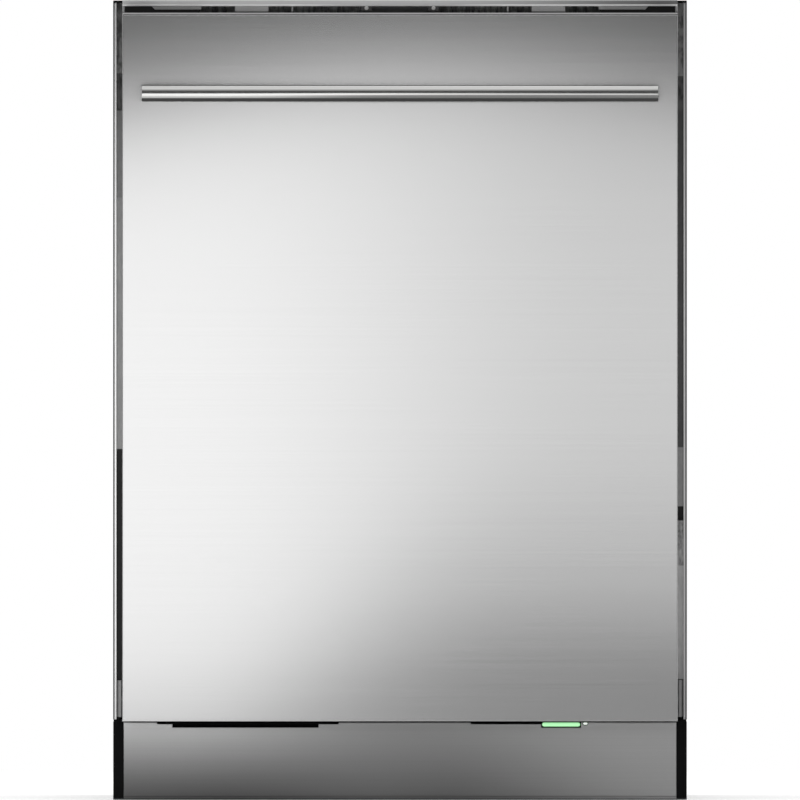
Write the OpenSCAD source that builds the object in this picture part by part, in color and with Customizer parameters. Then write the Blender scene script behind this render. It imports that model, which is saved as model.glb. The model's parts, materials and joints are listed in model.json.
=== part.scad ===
// Built-in dishwasher with a brushed steel door, a bar handle and controls on the door's top edge.
// Millimetres. X to the right seen from the front, -Y towards the user, Z up, floor at Z = 0.

/* [Cabinet] */
// Width over the side panels
body_w = 600; // [590:1:620]
// Height from the floor to the top panel, with the feet screwed in
body_h = 836; // [826:1:866]
// Depth from the rear to the face of the door
body_d = 580; // [570:1:610]
// Thickness of the outer sheets
case_sheet = 1.2; // [0.8:0.1:1.2]
// Height of the side panels' lower edge
case_foot = 84; // [82:1:86]
// Width of the bright outer lip of the front frame
lip_w = 1.9; // [1.5:0.1:2.2]
// How far the lip stands forward of the frame
lip_reach = 12; // [8:1:14]

/* [Door] */
// Reveal of the frame on each side of the door
door_reveal = 10; // [9.5:0.5:12]
// Height of the door's lower edge
door_bottom = 83; // [83:1:88]
// Gap from the door's top to the top of the cabinet
door_head = 13.5; // [12:0.5:16]
// Thickness of the closed door, face to liner
door_t = 58; // [54:1:62]
// Sheet thickness of the door's panel and liner
door_sheet = 1; // [0.7:0.1:1.2]
// Distance of the hinge axis behind the door's face and above its lower edge
hinge_in = 22; // [20:0.5:24]
// Radius of the hinge pins
pin_r = 4; // [3:0.5:5]
// Running clearance of pins, wheels and spray arms in their bores
run_gap = 0.06; // [0.03:0.01:0.09]

/* [Handle] */
// Length of the handle bar
handle_len = 539; // [400:1:560]
// Diameter of the handle bar
handle_dia = 17; // [12:0.5:20]
// Height of the bar's centre below the cabinet's top
handle_drop = 98; // [80:1:140]
// How far the handle stands in front of the door
handle_reach = 45; // [38:1:60]
// Distance between the two handle posts
post_pitch = 500; // [300:5:510]
// Radius of the handle posts
post_r = 6; // [4:0.5:7]

/* [Tub] */
// Space between the tub's side walls and the outside of the cabinet
tub_side = 19; // [18.5:0.5:22]
// Gap between the tub's ceiling and the top of the cabinet
tub_head = 30; // [28:1:34]
// Sheet thickness of the tub
tub_sheet = 1.2; // [0.8:0.1:1.5]
// Radius of the tub's upper corners
tub_r = 25; // [12:1:35]
// Space between the tub's rear wall and the rear of the cabinet
tub_rear = 22; // [20:1:30]
// Width of the raised ledges that the lower rack rolls on
ledge_w = 26; // [22:1:28]
// Height of the ledges above the tub's floor
ledge_h = 13.3; // [10:0.1:16]
// Thickness of the door seal's gap between liner and frame
seal_gap = 6; // [5:0.5:8]

/* [Racks] */
// Diameter of the racks' wires
wire = 4; // [3:0.5:4.5]
// Diameter of the tines
tine = 3.2; // [2.5:0.1:4]
// Height of the lower rack's floor above the ledges
lower_lift = 46; // [44:1:52]
// Height of the lower rack's sides
lower_side = 118; // [90:1:130]
// Height of the tines
tine_h = 70; // [50:1:74]
// Height of the upper rack's floor below the tub's ceiling
upper_drop = 261; // [250:1:270]
// Height of the upper rack's sides
upper_side = 120; // [90:1:125]
// Height of the cutlery tray's floor below the tub's ceiling
tray_drop = 69; // [66:1:74]
// Height of the cutlery tray's sides
tray_side = 40; // [30:1:42]
// Radius of the lower rack's wheels
wheel_r = 17; // [14:0.5:18]
// Radius swept by the two large spray arms
arm_r = 232; // [200:1:238]

/* [Base] */
// Height of the toe kick's upper edge
kick_top = 81; // [79:1:82]
// Set-back of the toe kick behind the door's face
kick_recess = 48; // [47:1:55]
// Wall thickness of the base pan
pan_wall = 3; // [2:0.5:4]
// Radius of the feet's pads
foot_r = 22; // [16:1:26]
// Radius of the feet's threaded rods
rod_r = 5; // [4:0.5:6]
// Travel of the feet
foot_travel = 45; // [30:1:50]

/* [Hidden] */
$fn = 48;

// Clearances
fit = 0.3;          // between pieces that are seated or slide
touch = 0.1;        // between pieces that lie face to face
weld = 0.12;        // between crossing wires
cut = 1;            // how far a cutting shape runs past a face

// Depths, from the handle's front to the rear screws
y_back = (body_d + handle_reach) / 2;
y_face = y_back - body_d;
y_liner = y_face + door_t;
y_frame = y_liner + seal_gap;
screw_head = 1.9;
y_rear = y_back - 2;
y_tub = y_back - tub_rear;
hinge_y = y_face + hinge_in;
hinge_z = door_bottom + hinge_in;

// Widths
half_w = body_w / 2;
case_in = half_w - case_sheet;
lip_out = case_in - fit;
lip_in = lip_out - lip_w;
door_half = half_w - door_reveal;
tub_half = half_w - tub_side;
tub_out = tub_half + tub_sheet;
ledge_in = tub_half - ledge_w;

// Heights
door_top = body_h - door_head;
panel_top = door_top - 1.8;
ceiling = body_h - tub_head;
ledge_z = hinge_z + (y_liner - hinge_y) + fit;
floor_z = ledge_z - ledge_h;
top_sheet_z = body_h - case_sheet;

// Front frame
frame_sheet = 1.2;
frame_top = top_sheet_z - touch;
frame_round = 6;            // rounding of the frame's lower inner corners
hem = 1.2;                  // folded edge of the top panel over the frame's ends
arm_slot_top = hinge_z + 22; // the frame's flange stops here to clear the hinge arms
top_lip_d = 14;             // depth of the frame's rearward top lip

// Top rail over the door
rail_z = body_h - 5.5;
rail_front = y_face + 20;
rail_back = y_frame + top_lip_d;
rail_fold = 7;

// Worktop brackets and strike plate in the gap over the door
bracket_x = 155;
bracket_w = 35;
bracket_reach = 34;
bracket_hole_r = 2.75;
driver_hole_r = 6;
bracket_hole_y = y_frame - 20;
plate_t = 1.2;
gap_z = ceiling + 9.2;      // lower edge of the brackets and the strike plate
strike_half = 42;
strike_screw_x = 35;
loop_half = 9;
loop_t = 3;
loop_reach = 21;
loop_z = gap_z + 0.4;
window_half = 5;
window_near = 7;            // from the strike plate to the loop's window
window_d = 10;

// Seals
gasket_w = 6.6;
gasket_in = tub_out + 0.5;
gasket_foot = hinge_z + 24;
seal_h = 12;

// Toe kick, vent and status light
y_kick = y_face + kick_recess;
kick_half = door_half - 1;
kick_foot = 2.6;
kick_sheet = 1;
kick_fold = 4.9;
pan_front = y_kick + kick_sheet + 5;
vent_x = -238;
vent_len = 153;
vent_z = kick_top - 5.2;
vent_slot_h = 3.4;
vent_over = 16;             // the upper strip runs past the slot by this much
strip_z = kick_top - 1.7;
gap_strip_x = 74;
lamp_x = 148;
lamp_len = 41;
lamp_h = 5.8;
lamp_z = kick_top - 5.1;
lamp_proud = 1.5;

// Base pan
pan_floor = 10;
pan_step = case_foot;
pan_half = half_w - 0.5;
pan_upper_half = case_in - 0.5;
pan_upper_front = y_frame + 1.8;
pan_top = floor_z - tub_sheet - touch;
pan_back = y_back - 47.5;
skirt_foot = 2;
skirt_in = kick_half + fit;
foot_pad_h = 8;
rod_top = pan_floor + foot_travel + 15;
boss_r = rod_r + 8;
boss_top = rod_top + 10;
foot_front = [half_w - 50, y_frame + 30];
foot_back_y = pan_back - 30;
rod_gap = 0.08;

// Hinges and springs
bracket_in = door_half + 1.2;
bracket_t = 3;
bracket_tab = 2;            // thickness of the bracket's tab against the frame
bracket_ahead = 9;          // from the pin to the bracket's front edge
bracket_over = 20;          // from the pin to the bracket's upper edge
anchor_half = 6;            // half the size of the springs' rear anchors
slot_side = 0.2;            // play of the arm in the liner's slot
arm_t = 3;
arm_out = door_half - 3.5;
arm_in = arm_out - arm_t;
pin_in = arm_in - 0.3;
arm_low = hinge_z - 13;
arm_up = 125;               // from the pin to the arm's upper end
arm_high = hinge_z + arm_up;
arm_front = y_face + 6;
arm_back = y_liner - 4.5;
spring_x = (arm_in + arm_out) / 2;
spring_z = hinge_z - 6;
spring_r = 5;
hook_r = 1.2;
spring_front = y_frame + 8;
spring_len = 216;
spring_back = spring_front + spring_len;
anchor_y = spring_back + 21;

// Liner of the door
liner_half = door_half - 2;
liner_foot = hinge_z - 7;
liner_top = door_top - 14.5;
liner_fold = 22;
bulge = 4;
bulge_half = ledge_in;
bulge_foot = ledge_z + 9;
bulge_top = liner_top - 13;
y_bulge = y_liner + bulge;
panel_fold = 34;

// Dispenser in the liner
disp_x = -150;
disp_w = 240;
disp_z = 335;
disp_h = 130;
disp_flange = 4;
disp_proud = 3;
disp_deep = 29;
y_disp = y_bulge + disp_proud;
cup_x = disp_x + 15;
cup_w = 66;
cup_z = disp_z + 16;
cup_h = 74;
cup_deep = 17;
lid_over = 5;
lid_t = 2.6;
lid_travel = 72;
guide_t = 1.2;
cap_x = 55;
cap_z = disp_z + 65;
cap_r = 17;
neck_r = 11;

// Controls on the door's top edge
fascia_half = door_half - door_sheet - 0.2;
fascia_foot = liner_top + 0.3;
fascia_front = y_face + door_sheet + 0.2;
button_y = y_face + 27;
button_w = 29.4;
button_d = 11.4;
button_h = 4.6;
button_travel = 1.2;
button_edge = 55;           // from the door's side to the outer buttons
button_near = 75;           // from the power button to the next one
button_far = 120;           // from an outer button to the one next to the display
button_end = door_half - button_edge;
button_xs = [-button_end, -button_end + button_near, -button_end + button_far,
    button_end - button_far, button_end];
display_half = 70;
display_deep = 0.6;
bolt_half = 3.6;
bolt_d = 7.4;
bolt_h = 6;
bolt_y = y_frame - plate_t - window_near - window_d / 2;

// Tub's plumbing
arm_y = (y_frame + y_tub) / 2;      // centre of the tub, where the spray arms turn
sump_x = 30;
sump_y = arm_y - 32;
sump_r = 88;
sump_wall = 4;
sump_foot = 50;
sump_hole_r = 80;
post_hub_r = 12;
filter_plate_r = 95;
filter_plate_t = 1;
filter_x = sump_x + 32;
filter_y = sump_y - 30;
filter_r = 32;
filter_foot = 82;
plate_z = floor_z + touch;
lower_arm_z = floor_z + 12;
arm_t_z = 12;
hub_r = 20;
duct_half = 14;
duct_d = 12;
duct_z = ceiling - duct_d;
stub_r = 8;
top_arm_r = 110;
float_x = tub_half - 76;
float_y = y_frame + 53;
float_r = 22;
float_h = 13;
stem_r = 4;
stem_gap = 0.6;
stem_len = 20;

// Racks
rack_front = y_liner + 27.5;
rack_back = y_tub - 18;
rim = wire + 1;
lower_half = ledge_in - 5;
lower_z = ledge_z + lower_lift;
upper_half = tub_half - 25;
upper_z = ceiling - upper_drop;
tray_half = tub_half - 23;
tray_z = ceiling - tray_drop;
rack_lift = 50;             // travel of the upper rack's height adjusters
tube_drop = 22;             // from the upper rack's floor down to its water tube
tube_r = 9;
dock_r = 12;
dock_t = 2;
arm_drop = 46;              // from the upper rack's floor down to its spray arm
cap_t = 4;                  // thickness of the caps that hold the spray arms
cap_over = 4;               // how far they reach past the bore
bays_x = 8;                 // bays across a rack
bays_y = 8;                 // bays along a rack
wheel_w = 10;
wheel_mid = tub_half - 13;
axle_r = 4;
axle_z = ledge_z + wheel_r + 0.2;
front_axle_y = rack_front + 97;
rear_axle_y = rack_back - 57;
tine_bays = [1, 6];         // floor wires that carry the fixed rows of tines
fold_bay = 4;               // floor wire that carries the folding row
fold_x0 = -lower_half + 20;
fold_n = 10;
tine_pitch = 22;

// Rails on the tub's side walls
rail_wall = 3;
rail_out = tub_half - 0.15;
rail_in = rail_out - 8.8;
rail_h = 20;
groove_h = 12;
rail_y0 = y_frame + 8;
rail_y1 = y_tub - 40;
upper_rail_z = upper_z + 51;
tray_rail_z = tray_z + 12;
slide_in = rail_in - 5;
slide_out = rail_out - rail_wall - 0.4;

// Pumps and valve in the base
pump_y = sump_y;
pump_z = 68;
volute_r = 45;
volute_x1 = sump_x - sump_r - fit;
volute_x0 = volute_x1 - 36;
motor_r = 38;
motor_len = 112;
impeller_r = 33;
inlet_r = 14;
shaft_r = 4;

// Drain pump and inlet valve in the base
drain_up = 10;              // from the wash pump's axis up to the drain pump's
drain_case_r = 26;
drain_case_len = 20;
drain_motor_r = 20;
drain_motor_len = 50;
valve_half = 16;
valve_d = 40;
coil_r = 14;
coil_h = 34;
coil_in = 24;               // from the valve's inlet to the coil's axis

// Air break between the tub and the left side panel
air_t = 10;
air_d = 200;
air_h = 330;
air_front = arm_y - 90;
air_up = 150;               // from the hinge pin to its lower edge
air_foot = hinge_z + air_up;

// Services at the rear of the base
port_z = 52;
port_edge = 100;            // from the cabinet's sides to the outer ports
water_x = -half_w + port_edge;
water_half = 20;
port_half = 18;
water_r = 13.2;
water_len = 18;
drain_x = water_x + 60;
drain_r = 10.5;
drain_len = 26;
gland_x = half_w - port_edge;
gland_r = 11;
gland_bore = 5;
gland_len = 12;
flange_t = 3;

module block(x, y, z) {
    translate([min(x[0], x[1]), min(y[0], y[1]), min(z[0], z[1])])
        cube([abs(x[1] - x[0]), abs(y[1] - y[0]), abs(z[1] - z[0])]);
}

// The same shape on the left and on the right
module pair() {
    children();
    mirror([1, 0, 0]) children();
}

module rod_x(x, y, z, r) {
    translate([x[0], y, z]) rotate([0, 90, 0]) cylinder(h = x[1] - x[0], r = r);
}

module rod_y(x, y, z, r) {
    translate([x, y[0], z]) rotate([-90, 0, 0]) cylinder(h = y[1] - y[0], r = r);
}

module rod_z(x, y, z, r) {
    translate([x, y, z[0]]) cylinder(h = z[1] - z[0], r = r);
}

// Outline of the tub in X and Z, grown outwards by g: rounded above, ledges below
module tub_outline(g) {
    r = tub_r + g;
    w = tub_half + g;
    top = ceiling + g;
    difference() {
        union() {
            translate([-w, floor_z - g]) square([2 * w, top - r - floor_z + g]);
            translate([-w + r, top - r - cut]) square([2 * (w - r), r + cut]);
            for (s = [-1, 1]) translate([s * (w - r), top - r]) circle(r = r);
        }
        for (s = [-1, 1])
            translate([s * (ledge_in + g) + (s < 0 ? -ledge_w - cut : 0), floor_z - g - cut])
                square([ledge_w + cut, ledge_h + cut]);
    }
}

// Extrudes an outline drawn in X and Z along Y
module along_y(y) {
    translate([0, y[1], 0]) rotate([90, 0, 0]) linear_extrude(height = y[1] - y[0]) children();
}

module tub() {
    color("silver") {
        difference() {
            along_y([y_frame, y_tub + tub_sheet]) tub_outline(tub_sheet);
            along_y([y_frame - cut, y_tub]) tub_outline(0);
            rod_z(sump_x, sump_y, [floor_z - tub_sheet - cut, floor_z + cut], sump_hole_r);
            rod_z(float_x, float_y, [floor_z - tub_sheet - cut, floor_z + cut], stem_r + stem_gap);
        }
        block([-ledge_in, ledge_in], [y_frame, y_frame + tub_sheet], [floor_z, ledge_z]);
    }
}

module front_frame() {
    color("lightgray") {
        pair() difference() {
            union() {
                block([tub_out + touch, lip_out], [y_frame, y_frame + frame_sheet],
                    [case_foot, frame_top - hem]);
                block([lip_in, lip_out], [y_frame - lip_reach, y_frame + frame_sheet],
                    [case_foot, frame_top - hem]);
            }
            block([tub_out - cut, door_half], [y_frame - cut, y_frame + frame_sheet + cut],
                [case_foot - cut, arm_slot_top]);
            difference() {
                block([lip_in - frame_round - cut, lip_in],
                    [y_frame - cut, y_frame + frame_sheet + cut], [case_foot - cut, case_foot + frame_round]);
                rod_y(lip_in, [y_frame - 2 * cut, y_frame + frame_sheet + 2 * cut],
                    case_foot + frame_round, frame_round);
            }
        }
        block([-tub_out - cut, tub_out + cut], [y_frame, y_frame + frame_sheet],
            [ceiling + tub_sheet + touch, frame_top]);
        block([-door_half, door_half], [y_frame, y_frame + top_lip_d],
            [frame_top - frame_sheet, frame_top]);
    }
}

// One side panel, drawn for the right
module side_panel() {
    step = 1;               // the sheet's front edge lies this far behind the lip's
    flange = 8;
    rear_up = 50;           // from the sheet's foot to that of its rear flange
    block([case_in, half_w], [y_frame - lip_reach + step, y_rear - touch], [case_foot, top_sheet_z - touch]);
    block([tub_out + 2, case_in], [y_rear - case_sheet - fit - case_sheet, y_rear - case_sheet - fit],
        [case_foot + rear_up, top_sheet_z - touch]);
    block([case_in - flange, case_in], [rail_back + flange, y_rear - 7 * flange],
        [top_sheet_z - touch - case_sheet, top_sheet_z - touch]);
}

module side_panel_right() {
    color("dimgray") side_panel();
}

module side_panel_left() {
    color("dimgray") mirror([1, 0, 0]) side_panel();
}

module rear_panel() {
    louvre_n = 8;
    louvre_w = 120;
    louvre_h = 4;
    louvre_pitch = 10;
    foot = case_foot + 46;
    louvre_z = foot + 24;
    color("gray") difference() {
        block([-case_in + touch, case_in - touch], [y_rear - case_sheet, y_rear],
            [foot, top_sheet_z - touch]);
        for (i = [0 : louvre_n - 1])
            block([-louvre_w / 2, louvre_w / 2], [y_rear - case_sheet - cut, y_rear + cut],
                [louvre_z + louvre_pitch * i, louvre_z + louvre_pitch * i + louvre_h]);
    }
}

module top_panel() {
    color("dimgray") {
        block([-half_w, half_w], [rail_back + fit, y_rear], [top_sheet_z, body_h]);
        pair() {
            block([door_half + fit, half_w], [y_frame - lip_reach, rail_back + fit + cut],
                [top_sheet_z, body_h]);
            block([door_half + fit, lip_out], [y_frame - lip_reach, y_frame - lip_reach + case_sheet],
                [top_sheet_z - hem, body_h]);
        }
    }
}

module top_rail() {
    color("silver") difference() {
        union() {
            block([-door_half, door_half], [rail_front, rail_front + case_sheet], [rail_z, body_h]);
            block([-door_half, door_half], [rail_front, rail_back], [top_sheet_z, body_h]);
            block([-door_half, door_half], [rail_front, rail_front + rail_fold],
                [rail_z, rail_z + case_sheet]);
        }
        pair() rod_z(bracket_x, bracket_hole_y, [top_sheet_z - cut, body_h + cut], driver_hole_r);
    }
}

module worktop_brackets() {
    x = [bracket_x - bracket_w / 2, bracket_x + bracket_w / 2];
    color("gainsboro") pair() difference() {
        union() {
            block(x, [y_frame - touch - plate_t, y_frame - touch], [gap_z, frame_top]);
            block(x, [y_frame - bracket_reach, y_frame - touch], [frame_top - plate_t, frame_top]);
        }
        rod_z(bracket_x, bracket_hole_y, [frame_top - plate_t - cut, frame_top + cut], bracket_hole_r);
    }
}

module strike_plate() {
    y_plate = y_frame - touch - plate_t;
    window_y = y_plate - window_near;
    head_t = 1.8;
    head_r = 3.2;
    head_z = gap_z + 12;
    color("gainsboro") {
        block([-strike_half, strike_half], [y_plate, y_frame - touch], [gap_z, frame_top - 2]);
        difference() {
            block([-loop_half, loop_half], [y_plate - loop_reach, y_plate], [loop_z, loop_z + loop_t]);
            block([-window_half, window_half], [window_y - window_d, window_y],
                [loop_z - cut, loop_z + loop_t + cut]);
        }
        pair() rod_y(strike_screw_x, [y_plate - head_t, y_plate], head_z, head_r);
    }
}

// Bulb of the door gasket, with its narrow foot against the frame
module tub_gasket() {
    y = [y_liner + fit, y_frame - touch];
    foot = 1.2;             // the foot is this much narrower on each side
    foot_h = 2;
    lap = 1;                // the top strip laps over the side strips
    top = ceiling + tub_sheet + fit;
    color("darkslategray") {
        pair() {
            block([gasket_in, gasket_in + gasket_w], [y[0], y[1] - foot_h], [gasket_foot, top + gasket_w]);
            block([gasket_in + foot, gasket_in + gasket_w - foot], y, [gasket_foot, top + gasket_w]);
        }
        block([-gasket_in - lap, gasket_in + lap], [y[0], y[1] - foot_h], [top, top + gasket_w]);
        block([-gasket_in - foot - lap, gasket_in + foot + lap], y, [top + foot, top + gasket_w - foot]);
    }
}

module toe_kick() {
    y = [y_kick, y_kick + kick_sheet];
    color("silver") difference() {
        union() {
            block([-kick_half, kick_half], y, [kick_foot, kick_top]);
            pair() block([kick_half - kick_sheet, kick_half], [y_kick, y_kick + kick_sheet + kick_fold],
                [kick_foot, kick_top]);
        }
        block([vent_x, vent_x + vent_len], [y[0] - cut, y[1] + cut], [vent_z, kick_top + cut]);
        block([vent_x - vent_over, vent_x + vent_len + 1.3 * vent_over], [y[0] - cut, y[1] + cut],
            [strip_z, kick_top + cut]);
        block([gap_strip_x, lamp_x], [y[0] - cut, y[1] + cut], [strip_z, kick_top + cut]);
        block([lamp_x - fit, lamp_x + lamp_len + fit], [y[0] - cut, y[1] + cut],
            [lamp_z - fit, kick_top + cut]);
    }
}

module kick_lip() {
    lip_t = 4;
    lip_z = [0.5, 9];
    y = y_kick + kick_sheet + touch;
    color("black") block([-kick_half + kick_sheet + fit, kick_half - kick_sheet - fit], [y, y + lip_t], lip_z);
}

module vent_grille() {
    ribs = 5;
    bar = 0.5;              // half the width of a rib
    under = 3;              // how far the insert reaches below the slot
    y = [y_kick + kick_sheet + touch, pan_front - touch];
    cell = vent_len / ribs;
    color("black") {
        difference() {
            block([vent_x - vent_over, vent_x + vent_len + 1.3 * vent_over], y, [vent_z - under, kick_top]);
            for (i = [0 : ribs - 1])
                block([vent_x + i * cell + bar, vent_x + (i + 1) * cell - bar], [y[0] - cut, y[1] + cut],
                    [vent_z, vent_z + vent_slot_h]);
        }
        block([gap_strip_x, lamp_x - cut], y, [strip_z - under + cut, kick_top]);
    }
}

module status_light() {
    r = lamp_h / 2;
    behind = 4;
    y = [y_kick - lamp_proud, y_kick + kick_sheet + behind];
    color("palegreen") along_y(y) union() {
        translate([lamp_x + r, lamp_z]) square([lamp_len - lamp_h, lamp_h]);
        for (x = [lamp_x + r, lamp_x + lamp_len - r]) translate([x, lamp_z + r]) circle(r = r);
    }
}

// Outline of the base pan from the side, shrunk inwards by g
module pan_outline(g) {
    polygon([[pan_front + g, pan_floor + g], [pan_back - g, pan_floor + g], [pan_back - g, pan_top + cut * g],
        [pan_upper_front + g, pan_top + cut * g], [pan_upper_front + g, pan_step - g],
        [pan_front + g, pan_step - g]]);
}

module along_x(x) {
    translate([x[0], 0, 0]) rotate([90, 0, 90]) linear_extrude(height = x[1] - x[0]) children();
}

module base_pan() {
    color("black") {
        difference() {
            union() {
                intersection() {
                    along_x([-pan_upper_half, pan_upper_half]) pan_outline(0);
                    block([-half_w, half_w], [pan_front - cut, pan_back + cut], [pan_floor, pan_top]);
                }
                block([-pan_half, pan_half], [pan_front, pan_back], [pan_floor, pan_step - touch]);
                pair() block([skirt_in, pan_half], [y_kick, pan_front + cut], [skirt_foot, pan_step - touch]);
            }
            along_x([-pan_upper_half + pan_wall, pan_upper_half - pan_wall]) pan_outline(pan_wall);
            for (s = [-1, 1]) {
                rod_z(s * foot_front[0], foot_front[1], [pan_floor - cut, boss_top], rod_r + rod_gap);
                rod_y(s * spring_x, [pan_upper_front - cut, pan_upper_front + pan_wall + cut], spring_z,
                    spring_r + 2 * cut);
            }
            rod_z(0, foot_back_y, [pan_floor - cut, boss_top], rod_r + rod_gap);
            for (x = [water_x, drain_x, gland_x])
                rod_y(x, [pan_back - pan_wall - cut, pan_back + cut], port_z, gland_bore);
        }
        pair() difference() {
            rod_z(foot_front[0], foot_front[1], [pan_floor, boss_top], boss_r);
            rod_z(foot_front[0], foot_front[1], [pan_floor - cut, boss_top + cut], rod_r + rod_gap);
        }
        difference() {
            rod_z(0, foot_back_y, [pan_floor, boss_top], boss_r);
            rod_z(0, foot_back_y, [pan_floor - cut, boss_top + cut], rod_r + rod_gap);
        }
        pair() block([spring_x - anchor_half, pan_upper_half - pan_wall + cut],
            [anchor_y, anchor_y + anchor_half], [spring_z - anchor_half, spring_z + anchor_half]);
    }
}

// One levelling foot: pad and threaded rod
module foot(x, y) {
    color("dimgray") {
        rod_z(x, y, [0, foot_pad_h], foot_r);
        rod_z(x, y, [foot_pad_h - cut, rod_top], rod_r);
    }
}

module foot_front_left() {
    foot(-foot_front[0], foot_front[1]);
}

module foot_front_right() {
    foot(foot_front[0], foot_front[1]);
}

module foot_rear() {
    foot(0, foot_back_y);
}

module hinge_brackets() {
    z = [case_foot + frame_round / 2, hinge_z + bracket_over];
    y = [hinge_y - bracket_ahead, y_frame - touch];
    color("silver") pair() {
        block([bracket_in, bracket_in + bracket_t], y, z);
        block([bracket_in, lip_in - touch], [y[1] - bracket_tab, y[1]], z);
        rod_x([pin_in, bracket_in + cut], hinge_y, hinge_z, pin_r);
    }
}

module hinge_arms() {
    color("gray") pair() difference() {
        block([arm_in, arm_out], [arm_front, arm_back], [arm_low, arm_high]);
        rod_x([arm_in - cut, arm_out + cut], hinge_y, hinge_z, pin_r + run_gap);
    }
}

// Counterbalance springs, drawn as plain rods of their outer size
module door_springs() {
    color("gray") pair() {
        rod_y(spring_x, [spring_front, spring_back], spring_z, spring_r);
        rod_y(spring_x, [arm_back + fit, spring_front + cut], spring_z, hook_r);
        rod_y(spring_x, [spring_back - cut, anchor_y - fit], spring_z, hook_r);
    }
}

module sump() {
    post_top = lower_arm_z + arm_t_z + fit;
    color("dimgray") {
        difference() {
            rod_z(sump_x, sump_y, [sump_foot, pan_top + touch - fit], sump_r);
            rod_z(sump_x, sump_y, [sump_foot + sump_wall, floor_z], sump_r - sump_wall);
            rod_x([sump_x - sump_r - cut, sump_x], pump_y, pump_z, inlet_r);
        }
        rod_z(0, arm_y, [sump_foot + sump_wall - cut, post_top], post_hub_r);
        rod_z(0, arm_y, [post_top, post_top + cap_t], post_hub_r + cap_over);
    }
}

module pump_housing() {
    cavity = impeller_r + 3;
    wall = 6;
    leg_half = 22;
    leg_in = 20;            // the leg stops this far inside the housing's ends
    blind = 30;             // end of the shaft's bore, from the motor's rear
    color("black") difference() {
        union() {
            rod_x([volute_x0, volute_x1], pump_y, pump_z, volute_r);
            rod_x([volute_x0 - motor_len, volute_x0 + cut], pump_y, pump_z, motor_r);
            block([volute_x0 - motor_len + leg_in, volute_x0 - leg_in],
                [pump_y - leg_half, pump_y + leg_half], [pan_floor + pan_wall + fit, pump_z]);
        }
        rod_x([volute_x0 + wall, volute_x1 - wall], pump_y, pump_z, cavity);
        rod_x([volute_x1 - wall - cut, volute_x1 + cut], pump_y, pump_z, inlet_r);
        rod_x([volute_x0 - motor_len + blind, volute_x0 + wall + cut], pump_y, pump_z, shaft_r + run_gap);
    }
}

module pump_impeller() {
    blades = 6;
    blade_t = 2;
    blade_d = 12;
    disc = [volute_x0 + 8, volute_x0 + 12];
    tail = volute_x0 - motor_len + 32;
    color("white") {
        rod_x([tail, volute_x1 - 10], pump_y, pump_z, shaft_r);
        rod_x(disc, pump_y, pump_z, impeller_r);
        translate([disc[1] - cut, pump_y, pump_z]) for (i = [0 : blades - 1])
            rotate([i * 360 / blades, 0, 0]) translate([0, -blade_t / 2, shaft_r - cut])
                cube([blade_d, blade_t, impeller_r - shaft_r - cut]);
    }
}

module drain_pump() {
    x = sump_x + sump_r + fit;
    motor_x = x + drain_case_len;
    color("dimgray") {
        rod_x([x, motor_x], sump_y, pump_z + drain_up, drain_case_r);
        rod_x([motor_x - cut, motor_x + drain_motor_len], sump_y, pump_z + drain_up, drain_motor_r);
    }
}

module inlet_valve() {
    x = water_x;
    y = pan_back - pan_wall - fit;
    top = port_z + valve_half;
    color("white") {
        block([x - valve_half, x + valve_half], [y - valve_d, y], [port_z - valve_half, top]);
        rod_z(x, y - coil_in, [top - cut, top + coil_h], coil_r);
    }
}

module air_break() {
    color("gainsboro")
        block([-tub_out - touch - fit, -tub_out - touch - fit - air_t], [air_front, air_front + air_d],
            [air_foot, air_foot + air_h]);
}

// Flat water duct up the tub's rear wall and along its ceiling
module feed_pipe() {
    y_in = y_tub - duct_d;
    dock_z = upper_z - tube_drop;
    dock_half = dock_r + 3;
    stub_len = 12;
    cap_top = duct_z - stub_len + cut - fit;
    color("gainsboro") {
        block([-duct_half, duct_half], [y_in, y_tub - touch], [floor_z + touch, ceiling - touch]);
        block([-duct_half, duct_half], [arm_y - duct_half, y_in + cut], [duct_z, ceiling - touch]);
        rod_z(0, arm_y, [duct_z - stub_len, duct_z + cut], stub_r);
        rod_z(0, arm_y, [duct_z - stub_len - cap_t, cap_top], stub_r + cap_over);
        block([-dock_half, dock_half], [y_in - dock_t, y_in + cut],
            [dock_z - dock_half, dock_z + rack_lift + dock_half]);
    }
}

// One rail with its groove towards the rack, drawn for the right
module groove_rail(z, y) {
    difference() {
        block([rail_in, rail_out], y, [z, z + rail_h]);
        block([rail_in - cut, rail_out - rail_wall], [y[0] - cut, y[1] + cut],
            [z + (rail_h - groove_h) / 2, z + (rail_h + groove_h) / 2]);
    }
}

module rack_rails() {
    color("silver") pair() {
        groove_rail(upper_rail_z, [rail_y0, rail_y1]);
        groove_rail(tray_rail_z, [rail_y0, rail_y1]);
    }
}

module fine_filter() {
    color("silver") difference() {
        rod_z(sump_x, sump_y, [plate_z, plate_z + filter_plate_t], filter_plate_r);
        rod_z(0, arm_y, [plate_z - cut, plate_z + 2 * cut + filter_plate_t], post_hub_r + fit);
        rod_z(filter_x, filter_y, [plate_z - cut, plate_z + 2 * cut + filter_plate_t], filter_r + fit);
    }
}

module coarse_filter() {
    rim_z = plate_z + filter_plate_t + fit;
    wall = 2;
    rim_t = 1.6;
    rim_over = 4;
    grip = [44, 6, 5.5];    // length, thickness and height of the finger grip
    color("dimgray") {
        difference() {
            rod_z(filter_x, filter_y, [filter_foot, rim_z + cut], filter_r);
            rod_z(filter_x, filter_y, [filter_foot - cut, rim_z - cut], filter_r - wall);
        }
        rod_z(filter_x, filter_y, [rim_z, rim_z + rim_t], filter_r + rim_over);
        block([filter_x - grip[0] / 2, filter_x + grip[0] / 2],
            [filter_y - grip[1] / 2, filter_y + grip[1] / 2], [rim_z + cut, rim_z + grip[2]]);
    }
}

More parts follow.
